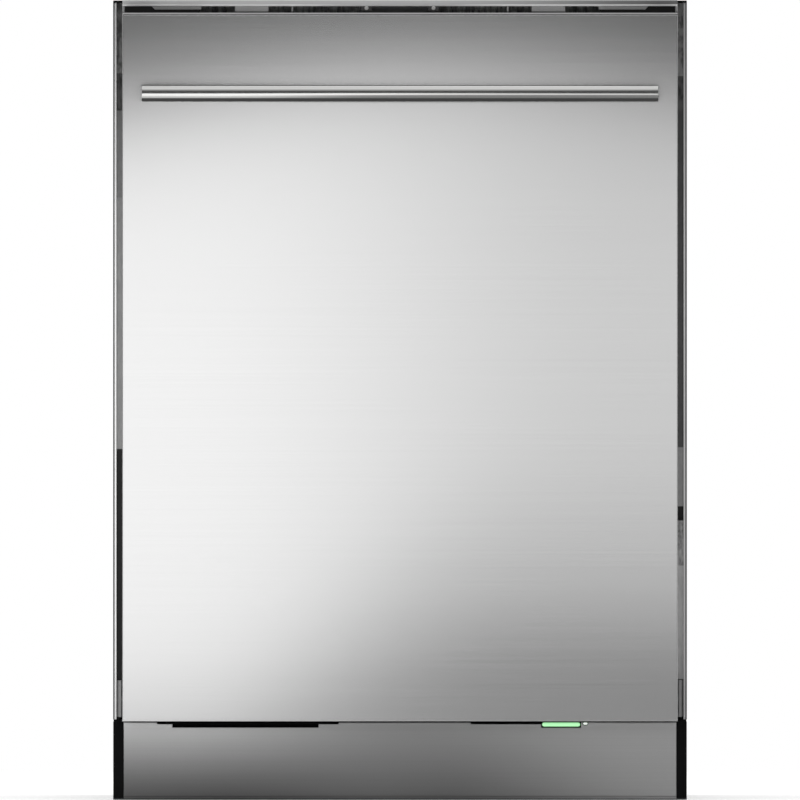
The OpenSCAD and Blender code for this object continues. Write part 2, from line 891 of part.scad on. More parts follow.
module float_cap() {
    color("dimgray") {
        rod_z(float_x, float_y, [floor_z + fit, floor_z + float_h], float_r);
        rod_z(float_x, float_y, [floor_z - stem_len, floor_z + cut], stem_r);
    }
}

// A spray arm of radius r whose hub turns on a post of radius bore, underside at z
module spray_arm(r, z, bore) {
    blade = 34;             // width of the blade at the hub
    tip = 24;               // its width at the tips
    shy = 2;                // the blade is this much thinner than the hub, above and below
    jets = 4;
    jet_r = 1.5;
    jet_deep = 5;
    color("silver") difference() {
        union() {
            rod_z(0, arm_y, [z, z + arm_t_z], hub_r);
            for (s = [-1, 1]) {
                translate([0, arm_y, z + shy]) scale([s, 1, 1])
                    linear_extrude(height = arm_t_z - 2 * shy)
                        polygon([[0, -blade / 2], [r - tip / 2, -tip / 2], [r - tip / 2, tip / 2], [0, blade / 2]]);
                rod_z(s * (r - tip / 2), arm_y, [z + shy, z + arm_t_z - shy], tip / 2);
            }
        }
        rod_z(0, arm_y, [z - cut, z + arm_t_z + cut], bore + run_gap);
        for (s = [-1, 1], i = [1 : jets])
            rod_z(s * r * i / (jets + 0.6), arm_y + 4 * s, [z + arm_t_z - jet_deep, z + arm_t_z + cut],
                jet_r);
    }
}

module lower_spray_arm() {
    spray_arm(arm_r, lower_arm_z, post_hub_r);
}

module upper_spray_arm() {
    spray_arm(arm_r, upper_z - arm_drop, stub_r);
}

module top_spray_arm() {
    hub = [duct_z - 11, duct_z - 4];
    half = 9;
    color("silver") difference() {
        union() {
            rod_z(0, arm_y, hub, stub_r + 8);
            block([-top_arm_r, top_arm_r], [arm_y - half, arm_y + half], [hub[0] + cut, hub[1] - cut]);
        }
        rod_z(0, arm_y, [hub[0] - cut, hub[1] + cut], stub_r + run_gap);
    }
}

module rear_ports() {
    y = pan_back + touch;
    color("dimgray") {
        block([water_x - water_half, water_x + water_half], [y, y + flange_t],
            [port_z - water_half, port_z + water_half]);
        rod_y(water_x, [y + flange_t - cut, y + flange_t + water_len], port_z, water_r);
        block([drain_x - port_half, drain_x + port_half], [y, y + flange_t],
            [port_z - port_half, port_z + port_half]);
        rod_y(drain_x, [y + flange_t - cut, y + flange_t + drain_len], port_z, drain_r);
        difference() {
            union() {
                block([gland_x - port_half, gland_x + port_half], [y, y + flange_t],
                    [port_z - port_half, port_z + port_half]);
                rod_y(gland_x, [y + flange_t - cut, y + gland_len], port_z, gland_r);
            }
            rod_y(gland_x, [y - cut, y + gland_len + cut], port_z, gland_bore);
        }
    }
}

// Screw heads on the rear panel
module casing_screws() {
    edge = 10;
    rows = 5;
    head_r = 4;
    foot = case_foot + 60;
    pitch = (top_sheet_z - edge - head_r - foot) / (rows - 1);
    color("silver") for (s = [-1, 1], i = [0 : rows - 1])
        rod_y(s * (case_in - edge), [y_rear + touch, y_rear + touch + screw_head], foot + i * pitch, head_r);
}

module door_panel() {
    color("silver") difference() {
        union() {
            block([-door_half, door_half], [y_face, y_face + door_sheet], [door_bottom, panel_top]);
            pair() block([door_half - door_sheet, door_half], [y_face, y_face + panel_fold],
                [door_bottom, panel_top]);
            block([-door_half, door_half], [y_face, y_face + hinge_in - cut],
                [door_bottom, door_bottom + door_sheet]);
        }
        pair() rod_x([door_half - door_sheet - cut, door_half + cut], hinge_y, hinge_z, pin_r + 2 * cut);
    }
}

module door_liner() {
    x0 = liner_half - door_sheet;
    y0 = y_liner - door_sheet;
    fold_half = arm_in - cut;
    play = 0.5;             // around the dispenser
    color("gainsboro") difference() {
        union() {
            block([-liner_half, liner_half], [y0, y_liner], [liner_foot, liner_top]);
            pair() block([x0, liner_half], [y_liner - liner_fold, y_liner], [liner_foot, liner_top]);
            block([-liner_half, liner_half], [y_liner - liner_fold, y_liner],
                [liner_top - door_sheet, liner_top]);
            block([-fold_half, fold_half], [y_liner - liner_fold, y_liner],
                [liner_foot, liner_foot + door_sheet]);
            block([-bulge_half, bulge_half], [y_liner - cut / 2, y_bulge], [bulge_foot, bulge_top]);
        }
        block([-bulge_half + door_sheet, bulge_half - door_sheet], [y0 - cut, y_bulge - door_sheet],
            [bulge_foot + door_sheet, bulge_top - door_sheet]);
        block([disp_x + disp_flange - play, disp_x + disp_w - disp_flange + play], [y0 - cut, y_bulge + cut],
            [disp_z + disp_flange - play, disp_z + disp_h - disp_flange + play]);
        // slots that the springs' front hooks pass through
        pair() block([fold_half, arm_out + slot_side], [y0 - cut, y_liner + cut],
            [liner_foot - cut, spring_z + spring_r + 3]);
    }
}

// Felt mat behind the door's panel
module door_core() {
    y = y_face + door_sheet + fit;
    mat_t = 10;
    side = arm_in - 4;
    color("darkslategray") block([-side, side], [y, y + mat_t], [door_bottom + mat_t + 2, fascia_foot - 8]);
}

module control_fascia() {
    slot_back = y_frame - plate_t - loop_reach - 1.5;
    slot_z = [loop_z - 0.8, loop_z + loop_t + 1];
    slot_half = loop_half + 2;
    pocket_w = button_w + 2 * fit;
    pocket_d = button_d + 2 * fit;
    pocket_z = door_top - button_h - button_travel - fit;
    color("dimgray") difference() {
        union() {
            block([-fascia_half, fascia_half], [fascia_front, y_liner - touch], [fascia_foot, door_top]);
            block([-door_half, door_half], [y_face, y_liner - touch], [panel_top + fit, door_top]);
        }
        block([-slot_half, slot_half], [slot_back, y_liner + cut], slot_z);
        block([-bolt_half - fit, bolt_half + fit], [bolt_y - bolt_d / 2 - fit, bolt_y + bolt_d / 2 + fit],
            [fascia_foot - cut, loop_z]);
        for (x = button_xs)
            block([x - pocket_w / 2, x + pocket_w / 2], [button_y - pocket_d / 2, button_y + pocket_d / 2],
                [pocket_z, door_top + cut]);
        block([-display_half, display_half], [button_y - pocket_d / 2, button_y + pocket_d / 2],
            [door_top - display_deep, door_top + cut]);
    }
}

module button(i) {
    x = button_xs[i];
    color("lightgray") block([x - button_w / 2, x + button_w / 2],
        [button_y - button_d / 2, button_y + button_d / 2], [door_top - button_h, door_top]);
}

module button_power() {
    button(0);
}

module button_program() {
    button(1);
}

module button_option() {
    button(2);
}

module button_delay() {
    button(3);
}

module button_start() {
    button(4);
}

// Spring bolt under the strike's window, drawn released
module latch_bolt() {
    top = loop_z - 1;
    color("silver") block([-bolt_half, bolt_half], [bolt_y - bolt_d / 2, bolt_y + bolt_d / 2],
        [top - bolt_h, top]);
}

module handle_bar() {
    color("silver") rod_x([-handle_len / 2, handle_len / 2], y_face - handle_reach + handle_dia / 2,
        body_h - handle_drop, handle_dia / 2);
}

module handle_posts() {
    bar_y = y_face - handle_reach + handle_dia / 2;
    z = body_h - handle_drop;
    collar_t = 3;
    collar_r = post_r + 2.5;
    color("silver") pair() difference() {
        union() {
            rod_y(post_pitch / 2, [bar_y, y_face - touch], z, post_r);
            rod_y(post_pitch / 2, [y_face - collar_t, y_face - touch], z, collar_r);
        }
        rod_x([-handle_len / 2, handle_len / 2], bar_y, z, handle_dia / 2 + touch);
    }
}

module dispenser_body() {
    color("gainsboro") difference() {
        union() {
            block([disp_x, disp_x + disp_w], [y_bulge + touch, y_disp], [disp_z, disp_z + disp_h]);
            block([disp_x + disp_flange, disp_x + disp_w - disp_flange], [y_disp - disp_deep, y_disp - cut],
                [disp_z + disp_flange, disp_z + disp_h - disp_flange]);
            for (z = [cup_z - lid_over - fit - guide_t, cup_z + cup_h + lid_over + fit])
                block([cup_x - lid_over, cup_x + cup_w + lid_over + lid_travel], [y_disp - cut, y_disp + lid_t],
                    [z, z + guide_t]);
        }
        block([cup_x, cup_x + cup_w], [y_disp - cup_deep, y_disp + cut], [cup_z, cup_z + cup_h]);
        rod_y(cap_x, [y_disp - 10, y_disp + cut], cap_z, neck_r + fit);
    }
}

module dispenser_lid() {
    grip_w = 4;
    grip_h = 1.5;
    grip_in = 15;           // from the cup's upper and lower edges to the grip's ends
    color("lightgray") {
        block([cup_x - lid_over, cup_x + cup_w + lid_over], [y_disp + fit, y_disp + fit + lid_t],
            [cup_z - lid_over, cup_z + cup_h + lid_over]);
        block([cup_x + cup_w - 2 * grip_w, cup_x + cup_w - grip_w],
            [y_disp + lid_t, y_disp + fit + lid_t + grip_h], [cup_z + grip_in, cup_z + cup_h - grip_in]);
    }
}

module rinse_cap() {
    y = y_disp + fit;
    cap_t = 3.6;
    neck_len = 7;
    grip = [26, 3.5, 5];    // length, height and thickness of the finger grip
    color("lightgray") {
        rod_y(cap_x, [y, y + cap_t], cap_z, cap_r);
        rod_y(cap_x, [y - neck_len, y + cut], cap_z, neck_r);
        block([cap_x - grip[0] / 2, cap_x + grip[0] / 2], [y + 3, y + 3 + grip[1]],
            [cap_z - grip[2] / 2, cap_z + grip[2] / 2]);
    }
}

module door_seal() {
    z = ledge_z - seal_h - 1;
    half = ledge_in + 3;
    color("black") block([-half, half], [y_liner + touch, y_frame - fit], [z, z + seal_h]);
}

// Wires of an open basket: floor grid, uprights, a rim and a middle ring
module basket(half, y, z, side) {
    r = wire / 2;
    rr = rim / 2;
    pitch_x = 2 * (half - r) / bays_x;
    pitch_y = (y[1] - y[0] - wire) / bays_y;
    long_z = z - wire - weld;
    up = [z + r + weld, z + side - rr - weld];
    // floor wires across and along
    for (i = [0 : bays_y])
        rod_x([-half + wire + weld, half - wire - weld], y[0] + r + i * pitch_y, z, r);
    for (i = [0 : bays_x])
        rod_y(-half + r + i * pitch_x, [y[0] + (i % bays_x == 0 ? wire + weld : wire / 2), y[1] - wire / 2],
            long_z, r);
    // uprights at the ends of the floor wires
    for (i = [0 : bays_y], s = [-1, 1])
        rod_z(s * (half - r), y[0] + r + i * pitch_y, [z - r, up[1]], r);
    for (i = [1 : bays_x - 1], w = [y[0] + r, y[1] - r])
        rod_z(-half + r + i * pitch_x, w, up, r);
    // rim and middle ring
    for (h = [side, side / 2]) {
        q = h == side ? 0 : rr + r + weld;
        for (s = [-1, 1]) rod_y(s * (half - r - q), [y[0] + r + 2 * q, y[1] - r - 2 * q], z + h, rr);
        for (w = [y[0] + r + q, y[1] - r - q])
            rod_x([-half + r + rr + weld + 2 * q, half - r - rr - weld - 2 * q], w, z + h, rr);
    }
}

// Y of a rack's cross wire number i
function cross_wire(i) = rack_front + wire / 2 + i * (rack_back - rack_front - wire) / bays_y;

// A row of tines standing on a rod that runs along X
module tine_row(x0, n, y, z) {
    rod_x([x0 - tine, x0 + (n - 1) * tine_pitch + tine], y, z, tine / 2);
    for (i = [0 : n - 1])
        rod_z(x0 + i * tine_pitch, y, [z + tine / 2 + weld, z + tine_h], tine / 2);
}

module lower_rack() {
    row_z = lower_z + (wire + tine) / 2 + weld;
    plate_t_x = 4;          // thickness of the plates that hold the axles
    color("lightgray") {
        basket(lower_half, [rack_front, rack_back], lower_z, lower_side);
        for (i = tine_bays, x = [fold_x0, fold_x0 + (fold_n + 1) * tine_pitch])
            tine_row(x, fold_n, cross_wire(i), row_z);
        pair() for (y = [front_axle_y, rear_axle_y]) {
            block([lower_half + weld, lower_half + plate_t_x], [y - 14, y + 14],
                [axle_z - 2 * axle_r, lower_z + 12]);
            rod_x([lower_half + plate_t_x - cut, wheel_mid + wheel_w / 2 + 2], y, axle_z, axle_r);
        }
    }
}

// The two wheels on one axle line
module wheel_pair(y) {
    color("gray") pair() difference() {
        rod_x([wheel_mid - wheel_w / 2, wheel_mid + wheel_w / 2], y, axle_z, wheel_r);
        rod_x([wheel_mid - wheel_w, wheel_mid + wheel_w], y, axle_z, axle_r + run_gap);
    }
}

module front_wheels() {
    wheel_pair(front_axle_y);
}

module rear_wheels() {
    wheel_pair(rear_axle_y);
}

module folding_tines() {
    row_z = lower_z + (wire + tine) / 2 + weld;
    color("silver") tine_row(fold_x0, fold_n, cross_wire(fold_bay), row_z);
}

module upper_rack() {
    row_z = upper_z + (wire + tine) / 2 + weld;
    tube_z = upper_z - tube_drop;
    dock_y = y_tub - duct_d - dock_t;
    post_z = upper_z - arm_drop - fit;
    plate_in = upper_half + fit;
    plate_out = slide_in - 0.4;
    plate_d = 170;
    plate_ahead = 110;      // from the arm's post to the plates' front
    plate_y = [arm_y - plate_ahead, arm_y - plate_ahead + plate_d];
    plate_z = [upper_rail_z - 14, upper_rail_z + 34];
    rib_half = 7;
    rib_d = 12;
    neck = 10;              // length of the tube's wide end at the dock
    color("lightgray") {
        basket(upper_half, [rack_front, rack_back], upper_z, upper_side);
        for (i = tine_bays, x = [fold_x0, fold_x0 + (fold_n + 1) * tine_pitch])
            tine_row(x, fold_n, cross_wire(i), row_z);
        // height adjusters on the slides
        pair() block([plate_in, plate_out], plate_y, plate_z);
        // water tube under the floor, its dock at the rear and the spray arm's post
        rod_y(0, [arm_y - rib_d - 2, dock_y - neck], tube_z, tube_r);
        rod_y(0, [dock_y - neck - cut, dock_y - 2 * fit], tube_z, dock_r);
        block([-rib_half, rib_half], [arm_y - rib_d, arm_y + rib_d],
            [tube_z, upper_z - 1.5 * wire - 2 * weld]);
        rod_z(0, arm_y, [post_z, tube_z], stub_r);
        rod_z(0, arm_y, [post_z - cap_t, post_z], stub_r + cap_over);
    }
}

// Inner members of the upper rack's rails
module upper_slides() {
    z = upper_rail_z + rail_h / 2;
    shift = 4;              // the slides lie this far behind the rack's ends
    color("gainsboro") pair()
        block([slide_in, slide_out], [rack_front + shift, rack_back + shift],
            [z - groove_h / 2 + fit, z + groove_h / 2 - fit]);
}

module cutlery_tray() {
    wall = 3;
    ribs = 9;
    cross = 6;
    y = [rack_front, rack_back - 12];
    rib_h = 3;
    rib_half = 2;
    runner_y = [y[0] + 10, y[1] - 4];
    z_run = tray_rail_z + rail_h / 2;
    color("gray") {
        difference() {
            block([-tray_half, tray_half], y, [tray_z, tray_z + tray_side]);
            block([-tray_half + wall, tray_half - wall], [y[0] + wall, y[1] - wall],
                [tray_z - cut, tray_z + tray_side + cut]);
        }
        for (i = [1 : ribs])
            translate([-tray_half + 2 * tray_half * i / (ribs + 1) - rib_half, y[0] + cut, tray_z])
                cube([2 * rib_half, y[1] - y[0] - 2 * cut, rib_h]);
        for (i = [1 : cross])
            translate([-tray_half + cut, y[0] + (y[1] - y[0]) * i / (cross + 1) - rib_half, tray_z])
                cube([2 * tray_half - 2 * cut, 2 * rib_half, rib_h]);
        pair() block([tray_half - cut, slide_out], runner_y,
            [z_run - groove_h / 2 + fit, z_run + groove_h / 2 - fit]);
    }
}

base_pan();
tub();
front_frame();
side_panel_left();
side_panel_right();
rear_panel();
top_panel();
top_rail();
worktop_brackets();
strike_plate();
tub_gasket();
toe_kick();
kick_lip();
vent_grille();
status_light();
hinge_brackets();
door_springs();
sump();
pump_housing();
pump_impeller();
drain_pump();
inlet_valve();
air_break();
feed_pipe();
rack_rails();
fine_filter();
rear_ports();
casing_screws();
door_panel();
door_liner();
door_core();
control_fascia();
handle_bar();
handle_posts();
dispenser_body();
dispenser_lid();
rinse_cap();
door_seal();
hinge_arms();
latch_bolt();
button_power();
button_program();
button_option();
button_delay();
button_start();
foot_front_left();
foot_front_right();
foot_rear();
lower_spray_arm();
upper_spray_arm();
top_spray_arm();
coarse_filter();
float_cap();
upper_rack();
upper_slides();
lower_rack();
front_wheels();
rear_wheels();
folding_tines();
cutlery_tray();
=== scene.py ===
"""Looks of a built-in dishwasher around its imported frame: finishes, formed pieces, studio and camera.

X to the right seen from the front, -Y towards the user, Z up, floor at Z = 0. Shapes are worked out in
millimetres and become metres in add_mesh. The studio and the patterns of the finishes are in metres.
"""

import json
import logging
import math
from dataclasses import dataclass, field
from enum import Enum
from functools import lru_cache
from typing import Any, Sequence

import bpy
import numpy as np
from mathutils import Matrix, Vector


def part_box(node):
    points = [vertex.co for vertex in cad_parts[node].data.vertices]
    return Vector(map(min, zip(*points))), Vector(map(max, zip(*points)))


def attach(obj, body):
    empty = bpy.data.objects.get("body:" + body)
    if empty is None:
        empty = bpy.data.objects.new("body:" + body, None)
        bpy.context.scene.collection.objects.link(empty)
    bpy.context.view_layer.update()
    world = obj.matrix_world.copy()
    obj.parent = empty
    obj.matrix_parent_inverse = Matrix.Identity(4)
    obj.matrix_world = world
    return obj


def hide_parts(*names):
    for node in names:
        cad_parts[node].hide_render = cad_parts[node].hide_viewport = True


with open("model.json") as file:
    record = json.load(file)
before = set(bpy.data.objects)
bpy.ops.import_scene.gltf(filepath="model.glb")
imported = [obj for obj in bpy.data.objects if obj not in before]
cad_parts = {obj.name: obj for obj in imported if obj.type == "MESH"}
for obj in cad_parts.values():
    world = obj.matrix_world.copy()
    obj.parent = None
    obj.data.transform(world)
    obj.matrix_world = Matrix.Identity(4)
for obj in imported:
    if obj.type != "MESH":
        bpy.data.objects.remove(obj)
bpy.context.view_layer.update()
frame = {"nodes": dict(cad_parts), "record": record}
LOG = logging.getLogger("dishwasher")

Array = np.ndarray
Vec = Sequence[float]
Line = Sequence[Sequence[float]]
Span = tuple[float, float]
MM = 0.001
TURN = 2 * math.pi
QUARTER = TURN / 4
SHARP = math.radians(32)


class Axis(Enum):
    """A direction of the frame."""

    X = 0
    Y = 1
    Z = 2

    @property
    def others(self) -> tuple[int, int]:
        """The two directions square to this one, in a right-handed order."""
        return (self.value + 1) % 3, (self.value + 2) % 3

    @property
    def unit(self) -> Array:
        """The direction as a vector of length 1."""
        return np.eye(3)[self.value]


@dataclass(frozen=True)
class Box:
    """Lowest and highest corner, in millimetres, of something that lies square in the frame."""

    lo: Array
    hi: Array

    @classmethod
    def of(cls, node: str) -> "Box":
        """The box of a node of the frame at rest."""
        return cls(*np.array(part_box(node), float) / MM)

    @classmethod
    def span(cls, x: Vec, y: Vec, z: Vec) -> "Box":
        """The box between two values on each axis."""
        return cls(*np.array([x, y, z], float).T)

    @property
    def size(self) -> Array:
        """Length of each side."""
        return self.hi - self.lo

    @property
    def mid(self) -> Array:
        """Centre of the box."""
        return (self.lo + self.hi) / 2


@dataclass
class Shell:
    """One closed surface: its points, and its faces as one array for each number of corners."""

    points: Array
    faces: list[Array]

    def outward(self) -> "Shell":
        """Turns the faces outwards, by the sign of the volume that they close."""
        volume = 0.0
        for face in self.faces:
            corner = self.points[face]
            volume += float(np.sum(corner[:, :1] * np.cross(corner[:, 1:-1], corner[:, 2:])))
        if volume < 0:
            self.faces = [face[:, ::-1] for face in self.faces]
        return self

    def moved(self, shift: Vec) -> "Shell":
        """A copy of the shell, moved by shift."""
        return Shell(self.points + np.array(shift, float), self.faces)

    def mirrored(self) -> "Shell":
        """A copy of the shell on the other side of X = 0."""
        return Shell(self.points * np.array([-1.0, 1.0, 1.0]), self.faces).outward()

    def turned(self, angle: float, axis: Axis, centre: Vec) -> "Shell":
        """Turns a copy of the shell: its points are multiplied by a plane rotation about the axis.

        Args:
            angle: Angle in radians.
            axis: Direction of the axis.
            centre: A point on the axis.

        Returns:
            The turned copy.
        """
        first, second = axis.others
        spin = np.eye(3)
        spin[first, first] = spin[second, second] = math.cos(angle)
        spin[first, second], spin[second, first] = -math.sin(angle), math.sin(angle)
        hub = np.array(centre, float)
        return Shell((self.points - hub) @ spin.T + hub, self.faces)


def round_about(shell: Shell, count: int, axis: Axis, centre: Vec) -> list[Shell]:
    """Copies of the shell at equal angles about an axis."""
    return [shell.turned(TURN * i / count, axis, centre) for i in range(count)]


def both_sides(*shells: Shell) -> list[Shell]:
    """The shells, and then their copies on the other side of X = 0."""
    return [*shells, *(shell.mirrored() for shell in shells)]


def about(middle: float, half: float) -> Span:
    """The span that reaches half to each side of the middle."""
    return middle - half, middle + half


def placed(planar: Array, along: Array | float, axis: Axis) -> Array:
    """Lifts planar points into space.

    Args:
        planar: Points with two coordinates, in the axis' own order of the other two directions.
        along: Their place along the axis.
        axis: The direction square to the plane.

    Returns:
        The points with three coordinates.
    """
    out = np.empty(np.broadcast_shapes(planar.shape[:-1], np.shape(along)) + (3,))
    out[..., axis.others] = planar
    out[..., axis.value] = along
    return out


def circle(radius: float, sides: int) -> Array:
    """Points of a circle round the origin."""
    turn = np.arange(sides) * TURN / sides
    return radius * np.stack([np.cos(turn), np.sin(turn)], axis=-1)


def rounded_rectangle(width: float, height: float, corner: float, arc: int) -> Array:
    """Outline round the origin: four quarter arcs, whose centres lie one corner radius inside.

    Args:
        width: Its first side.
        height: Its second side.
        corner: Corner radius, at most half of either side.
        arc: Steps in each arc.

    Returns:
        Points with two coordinates.
    """
    hair = 0.001
    corner = max(min(corner, width / 2 - hair, height / 2 - hair), hair)
    turn = np.arange(4)[:, None] * QUARTER + np.linspace(0, QUARTER, arc + 1)
    side_x = np.array([1, -1, -1, 1])[:, None] * (width / 2 - corner)
    side_y = np.array([1, 1, -1, -1])[:, None] * (height / 2 - corner)
    return np.stack([side_x + corner * np.cos(turn), side_y + corner * np.sin(turn)], axis=-1).reshape(-1, 2)


def loft(rings: Array, ends: tuple[bool, bool] = (True, True), loop: bool = False) -> Shell:
    """Joins rings of points, each to the next.

    Args:
        rings: Array of rings, points and coordinates.
        ends: Whether the first and the last ring are closed by a face.
        loop: Whether the last ring is joined to the first, with no ends.

    Returns:
        The shell, turned outwards.
    """
    count, around = rings.shape[:2]
    index = np.arange(count * around).reshape(count, around)
    near = index if loop else index[:-1]
    far = np.roll(index, -1, axis=0) if loop else index[1:]
    quads = np.stack([near, np.roll(near, -1, axis=1), np.roll(far, -1, axis=1), far], axis=-1)
    caps = [cap for cap, closed in zip((index[:1, ::-1], index[-1:]), ends) if closed and not loop]
    return Shell(rings.reshape(-1, 3), [quads.reshape(-1, 4), *caps]).outward()


def lathe(profile: Line, origin: Vec, axis: Axis, sides: int = 48, loop: bool = False,
          lobes: tuple[int, float] = (0, 0.0)) -> Shell:
    """Turns a profile round an axis: point (r, h) becomes a circle of radius r at height h.

    Args:
        profile: Radius and height of each ring.
        origin: Where the axis starts.
        axis: Direction of the axis.
        sides: Points in each ring.
        loop: Whether the profile closes on itself, as for a ring with a bore.
        lobes: Number of cosine waves round the rim, and their height as a share of the radius.

    Returns:
        The turned shell.
    """
    line = np.array(profile, float)
    count, height = lobes
    wave = 1 - height * (1 - np.cos(np.arange(sides) * TURN / sides * count))
    rings = placed(line[:, None, :1] * circle(1.0, sides) * wave[:, None], line[:, 1:2], axis)
    return loft(rings + np.array(origin, float), loop=loop)


def stacked(size: Vec, corner: float, rows: Line, centre: Vec, axis: Axis, arc: int = 4,
            follow: float = 1.0, loop: bool = False) -> Shell:
    """Joins rounded rectangles that lie square to an axis, each drawn in from one outline.

    Args:
        size: Both sides of the outline, in the axis' own order.
        corner: Its corner radius.
        rows: How far each rectangle is drawn in, and its place along the axis.
        centre: Middle of the outline.
        axis: Direction of the stack.
        arc: Steps in each rounded corner.
        follow: How much the corner radius shrinks for each millimetre that a rectangle is drawn in.
        loop: Whether the last rectangle is joined to the first.

    Returns:
        The stack as one shell.
    """
    width, height = size[:2]
    rings = [placed(rounded_rectangle(width - 2 * i, height - 2 * i, corner - follow * i, arc), along, axis)
             for i, along in rows]
    return loft(np.array(rings) + np.array(centre, float) * (1 - axis.unit), loop=loop)


def slab(x: Vec, y: Vec, z: Vec, axis: Axis, corner: float, edge: float, steps: int = 2,
         arc: int = 4) -> Shell:
    """Rounded plate: a rounded rectangle carried along an axis, drawn in by a quarter circle at both faces.

    Args:
        x: Low and high value on X.
        y: The same on Y.
        z: The same on Z.
        axis: Direction square to the faces.
        corner: Corner radius of the rectangle.
        edge: Radius of the faces' edges.
        steps: Steps in each rounded edge.
        arc: Steps in each rounded corner.

    Returns:
        The plate.
    """
    box = Box.span(x, y, z)
    turn = np.linspace(0, QUARTER, steps + 1)
    inset, depth = edge * (1 - np.sin(turn)), edge * (1 - np.cos(turn))
    low, high = box.lo[axis.value] + depth, box.hi[axis.value] - depth
    rows = zip([*inset, *inset[::-1]], [*low, *high[::-1]])
    return stacked(box.size[list(axis.others)], corner, list(rows), box.mid, axis, arc)


def plate(outline: Line, low: float, high: float, axis: Axis) -> Shell:
    """Flat plate: an outline in the axis' own order, carried straight along the axis from low to high."""
    return loft(placed(np.array([outline, outline], float), np.array([[low], [high]]), axis))


def bend(points: Line, radius: float, steps: int = 5, loop: bool = False) -> Array:
    """Rounds the corners of a line: each becomes a quadratic curve that starts and ends radius away from it.

    Args:
        points: The line's corners, and its ends where it is open.
        radius: Length of both legs of each curve, at most about half of the stretch beside it.
        steps: Steps in each curve.
        loop: Whether the line is closed.

    Returns:
        The points of the rounded line.
    """
    line = np.array(points, float)
    inner = line if loop else line[1:-1]
    before = np.roll(line, 1, axis=0) if loop else line[:-2]
    after = np.roll(line, -1, axis=0) if loop else line[2:]
    t = np.linspace(0, 1, steps + 1)[:, None]
    curves = []
    for here, *legs in zip(inner, before - inner, after - inner):
        lengths = [np.linalg.norm(leg) for leg in legs]
        reach = min(radius, *(length / 2.01 for length in lengths))
        start, stop = (here + leg * reach / length for leg, length in zip(legs, lengths))
        curves.append((1 - t) ** 2 * start + 2 * t * (1 - t) * here + t ** 2 * stop)
    return np.concatenate(curves if loop else [line[:1], *curves, line[-1:]])


def sweep(path: Array, outline: Array, up: Vec, loop: bool = False, scale: Array | None = None) -> Shell:
    """Carries an outline along a path: its first coordinate lies square to up, its second one along up.

    Args:
        path: Points of the path.
        outline: Points of the outline, in two coordinates.
        up: A direction that the path never runs along.
        loop: Whether the path closes on itself.
        scale: Factor on the outline at each point of the path.

    Returns:
        The swept shell.
    """
    ahead = np.roll(path, -1, axis=0) - np.roll(path, 1, axis=0) if loop else np.gradient(path, axis=0)
    ahead /= np.linalg.norm(ahead, axis=1, keepdims=True)
    side = np.cross(ahead, np.array(up, float))
    side /= np.linalg.norm(side, axis=1, keepdims=True)
    rise = np.cross(side, ahead)
    factor = (np.ones(len(path)) if scale is None else scale)[:, None, None]
    flat = factor * (outline[:, :1] * side[:, None] + outline[:, 1:] * rise[:, None])
    return loft(path[:, None] + flat, loop=loop)


def wire(points: Line, radius: float, up: Vec, corner: float = 0.0, loop: bool = False,
         sides: int = 8) -> Shell:
    """Round wire along a line with bent corners, its ends a little domed.

    Args:
        points: Corners and ends of the line.
        radius: Radius of the wire.
        up: A direction that the line never runs along.
        corner: How far each bend reaches from its corner.
        loop: Whether the wire is closed.
        sides: Points round the wire.

    Returns:
        The wire.
    """
    path = bend(points, corner, loop=loop) if corner else np.array(points, float)
    if loop:
        return sweep(path, circle(radius, sides), up, loop=True)
    dome = 0.45
    ends = [at + (at - inside) * dome * radius / np.linalg.norm(at - inside)
            for at, inside in ((path[0], path[1]), (path[-1], path[-2]))]
    scale = np.array([dome, *np.ones(len(path)), dome])
    return sweep(np.array([ends[0], *path, ends[1]]), circle(radius, sides), up, scale=scale)


def rod(start: Vec, stop: Vec, radius: float) -> Shell:
    """Straight wire between two points."""
    line = np.array([start, stop], float)
    flow = np.abs(line[1] - line[0])
    return wire(line, radius, Axis.Z.unit if flow[2] < 0.9 * np.linalg.norm(flow) else Axis.Y.unit)


def threaded(radius: float, depth: float, pitch: float, length: float, origin: Vec, axis: Axis,
             sides: int = 24, bore: float = 0.0) -> Shell:
    """Screw thread: at angle a and height h the radius drops by depth times a triangle wave of h / pitch - a.

    Args:
        radius: Outer radius.
        depth: Depth of the thread, which fades in and out over one pitch at the ends.
        pitch: Height of one turn.
        length: Length along the axis.
        origin: Where the axis starts.
        axis: Direction of the axis.
        sides: Points in each ring.
        bore: Radius of a bore right through, or 0.

    Returns:
        The threaded rod or tube.
    """
    height = np.linspace(0, length, max(int(length / pitch * 6), 8))
    phase = height[:, None] / pitch - np.arange(sides) / sides
    wave = np.abs(2 * (phase - np.floor(phase)) - 1)
    fade = np.clip(np.minimum(height, length - height) / pitch, 0, 1)[:, None]
    grown = radius - depth * (1 - fade * wave)
    if bore:
        grown = np.concatenate([grown, np.full((2, sides), bore)])
        height = np.concatenate([height, [length, 0.0]])
    rings = placed(grown[..., None] * circle(1.0, sides), height[:, None], axis)
    return loft(rings + np.array(origin, float), loop=bore > 0)


def cross_head(place: Vec, axis: Axis, radius: float, height: float, facing: int = 1) -> Shell:
    """Pan head with a cross recess, whose radius swings between the arms' reach and their width.

    Args:
        place: Middle of the head's foot.
        axis: Direction of the screw.
        radius: Radius of the head.
        height: Height of the head.
        facing: 1 where the head points along the axis, and -1 where it points against it.

    Returns:
        The head.
    """
    turn = np.arange(32) * TURN / 32
    cross = radius * (0.22 + 0.36 * np.clip((np.abs(np.cos(2 * turn)) - 0.72) / 0.28, 0, 1))
    plain = [(radius * part, rise) for part, rise in ((1, 0), (1, 0.55), (0.93, 0.84), (0.72, 1), (0.66, 1))]
    rings = [placed(circle(1.0, 32) * np.reshape(r, (-1, 1)), facing * rise * height, axis)
             for r, rise in (*plain, (cross, 0.97), (0.7 * cross, 0.4))]
    return loft(np.array(rings) + np.array(place, float))


